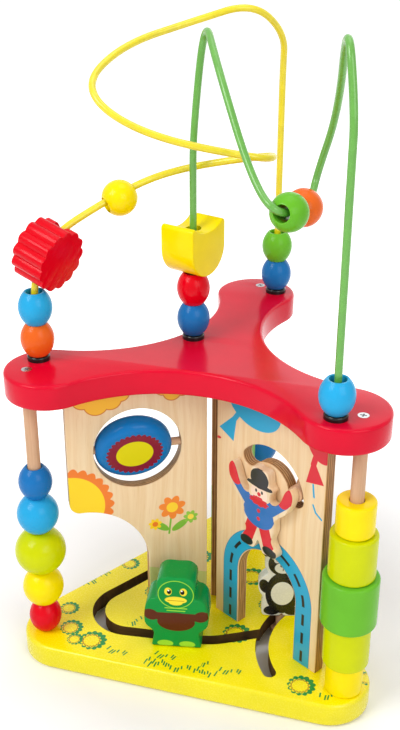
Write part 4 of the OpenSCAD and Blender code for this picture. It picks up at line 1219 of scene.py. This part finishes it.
def make_pegs():
    peg = guide_peg("track_peg", guide_d=8.9, guide_h=13)
    hand_in(copy_of(peg, "duck_peg", shift(*DUCK_AT)), "duck_figure", "bare_wood", POST_WOOD, "duck_peg")
    hand_in(copy_of(peg, "bear_peg", shift(*BEAR_AT)), "bear_figure", "bare_wood", POST_WOOD, "bear_peg")
    discard(peg)
    peg = guide_peg("jester_peg", guide_d=12.4, guide_h=11)
    place = turn_z(RIGHT) @ shift(*JESTER_PEG_AT) @ STAND_UP
    hand_in(settle(peg, place), "jester_figure", "bare_wood", POST_WOOD, "jester_peg")


# Floor, light and camera, in metres
FLOOR_SIZE, FLOOR_DROP, FLOOR_GLOW = 80, 0.0006, 0.66
SOFT_LIGHT, BACKGROUND = 0.4, 1.0
CAMERA_TURN, CAMERA_RISE, CAMERA_AWAY, CAMERA_AIM = 16.707, 25.551, 0.803161, (-0.012321, 0, 0.240595)
SENSOR_H, LENS = 36, 51.96


def pale_floor():
    """A pale floor that keeps the shadow and brightens to white away from the object."""
    f = Finish("pale_floor", Specular_IOR_Level=0.2, Emission_Strength=FLOOR_GLOW)
    p = f.place()
    x, y, _ = f.parts(p)
    away = f.ramp(f.reach(x, y), 130, 420)
    f.feed(f.shader.inputs["Emission Color"], f.over(BLACK, f.times(away, f.background_rays()), WHITE))
    tone = f.ramp(f.noise(p, 0.01, Detail=2), 0.3, 0.7)
    return f.finish(f.over(ink("F4F4F4"), tone, ink("F7F7F7")), 0.6)


def make_floor():
    start_fresh()
    bpy.ops.mesh.primitive_plane_add(size=FLOOR_SIZE, location=(0, 0, -FLOOR_DROP))
    floor = bpy.context.object
    floor.name = "floor"
    floor.data.materials.append(pale_floor())


def make_world():
    """Soft light from all round, with plain white behind the object."""
    scene.world = scene.world or bpy.data.worlds.new("studio")
    scene.world.use_nodes = True
    scene.world.node_tree.nodes.clear()
    d = Drawing(scene.world.node_tree)
    light = d.add("ShaderNodeBackground", {"Color": WHITE, "Strength": SOFT_LIGHT})
    white = d.add("ShaderNodeBackground", {"Color": WHITE, "Strength": BACKGROUND})
    out = d.tree.nodes.new("ShaderNodeOutputWorld")
    d.feed(out.inputs["Surface"], d.add("ShaderNodeMixShader", (d.background_rays(), light, white)))


def make_lamp(name, place, aim_height, size, power):
    start_fresh()
    bpy.ops.object.light_add(type="AREA", location=place)
    obj = bpy.context.object
    obj.name = name
    obj.data.size = size
    obj.data.energy = power
    obj.rotation_euler = (UP * aim_height - Vector(place)).to_track_quat("-Z", "Y").to_euler()


def make_camera():
    start_fresh()
    flat = polar(math.cos(math.radians(CAMERA_RISE)), CAMERA_TURN - 90)
    way = Vector((*flat, math.sin(math.radians(CAMERA_RISE))))
    bpy.ops.object.camera_add(location=Vector(CAMERA_AIM) + way * CAMERA_AWAY)
    camera = bpy.context.object
    camera.name = "photo_camera"
    camera.rotation_euler = (-way).to_track_quat("-Z", "Y").to_euler()
    camera.data.sensor_fit = "VERTICAL"
    camera.data.sensor_height = SENSOR_H
    camera.data.lens = LENS
    scene.camera = camera


for make in (make_base, make_plate, make_posts, make_panels, make_disc, make_wires, make_collars, make_screws,
             make_beads, make_balls, make_cog, make_moon, make_figures, make_pegs, make_floor, make_world):
    make()
make_lamp("key_light", (-0.9, -1.1, 1.5), aim_height=0.22, size=0.9, power=19)
make_lamp("fill_light", (1.1, -1.0, 1.0), aim_height=0.2, size=1.0, power=9)
make_lamp("top_light", (0.1, 0.2, 1.7), aim_height=0.25, size=1.0, power=5)
make_lamp("back_light", (0.5, 1.6, 0.85), aim_height=0.25, size=1.6, power=6)
make_camera()
scene.view_settings.view_transform = "Standard"
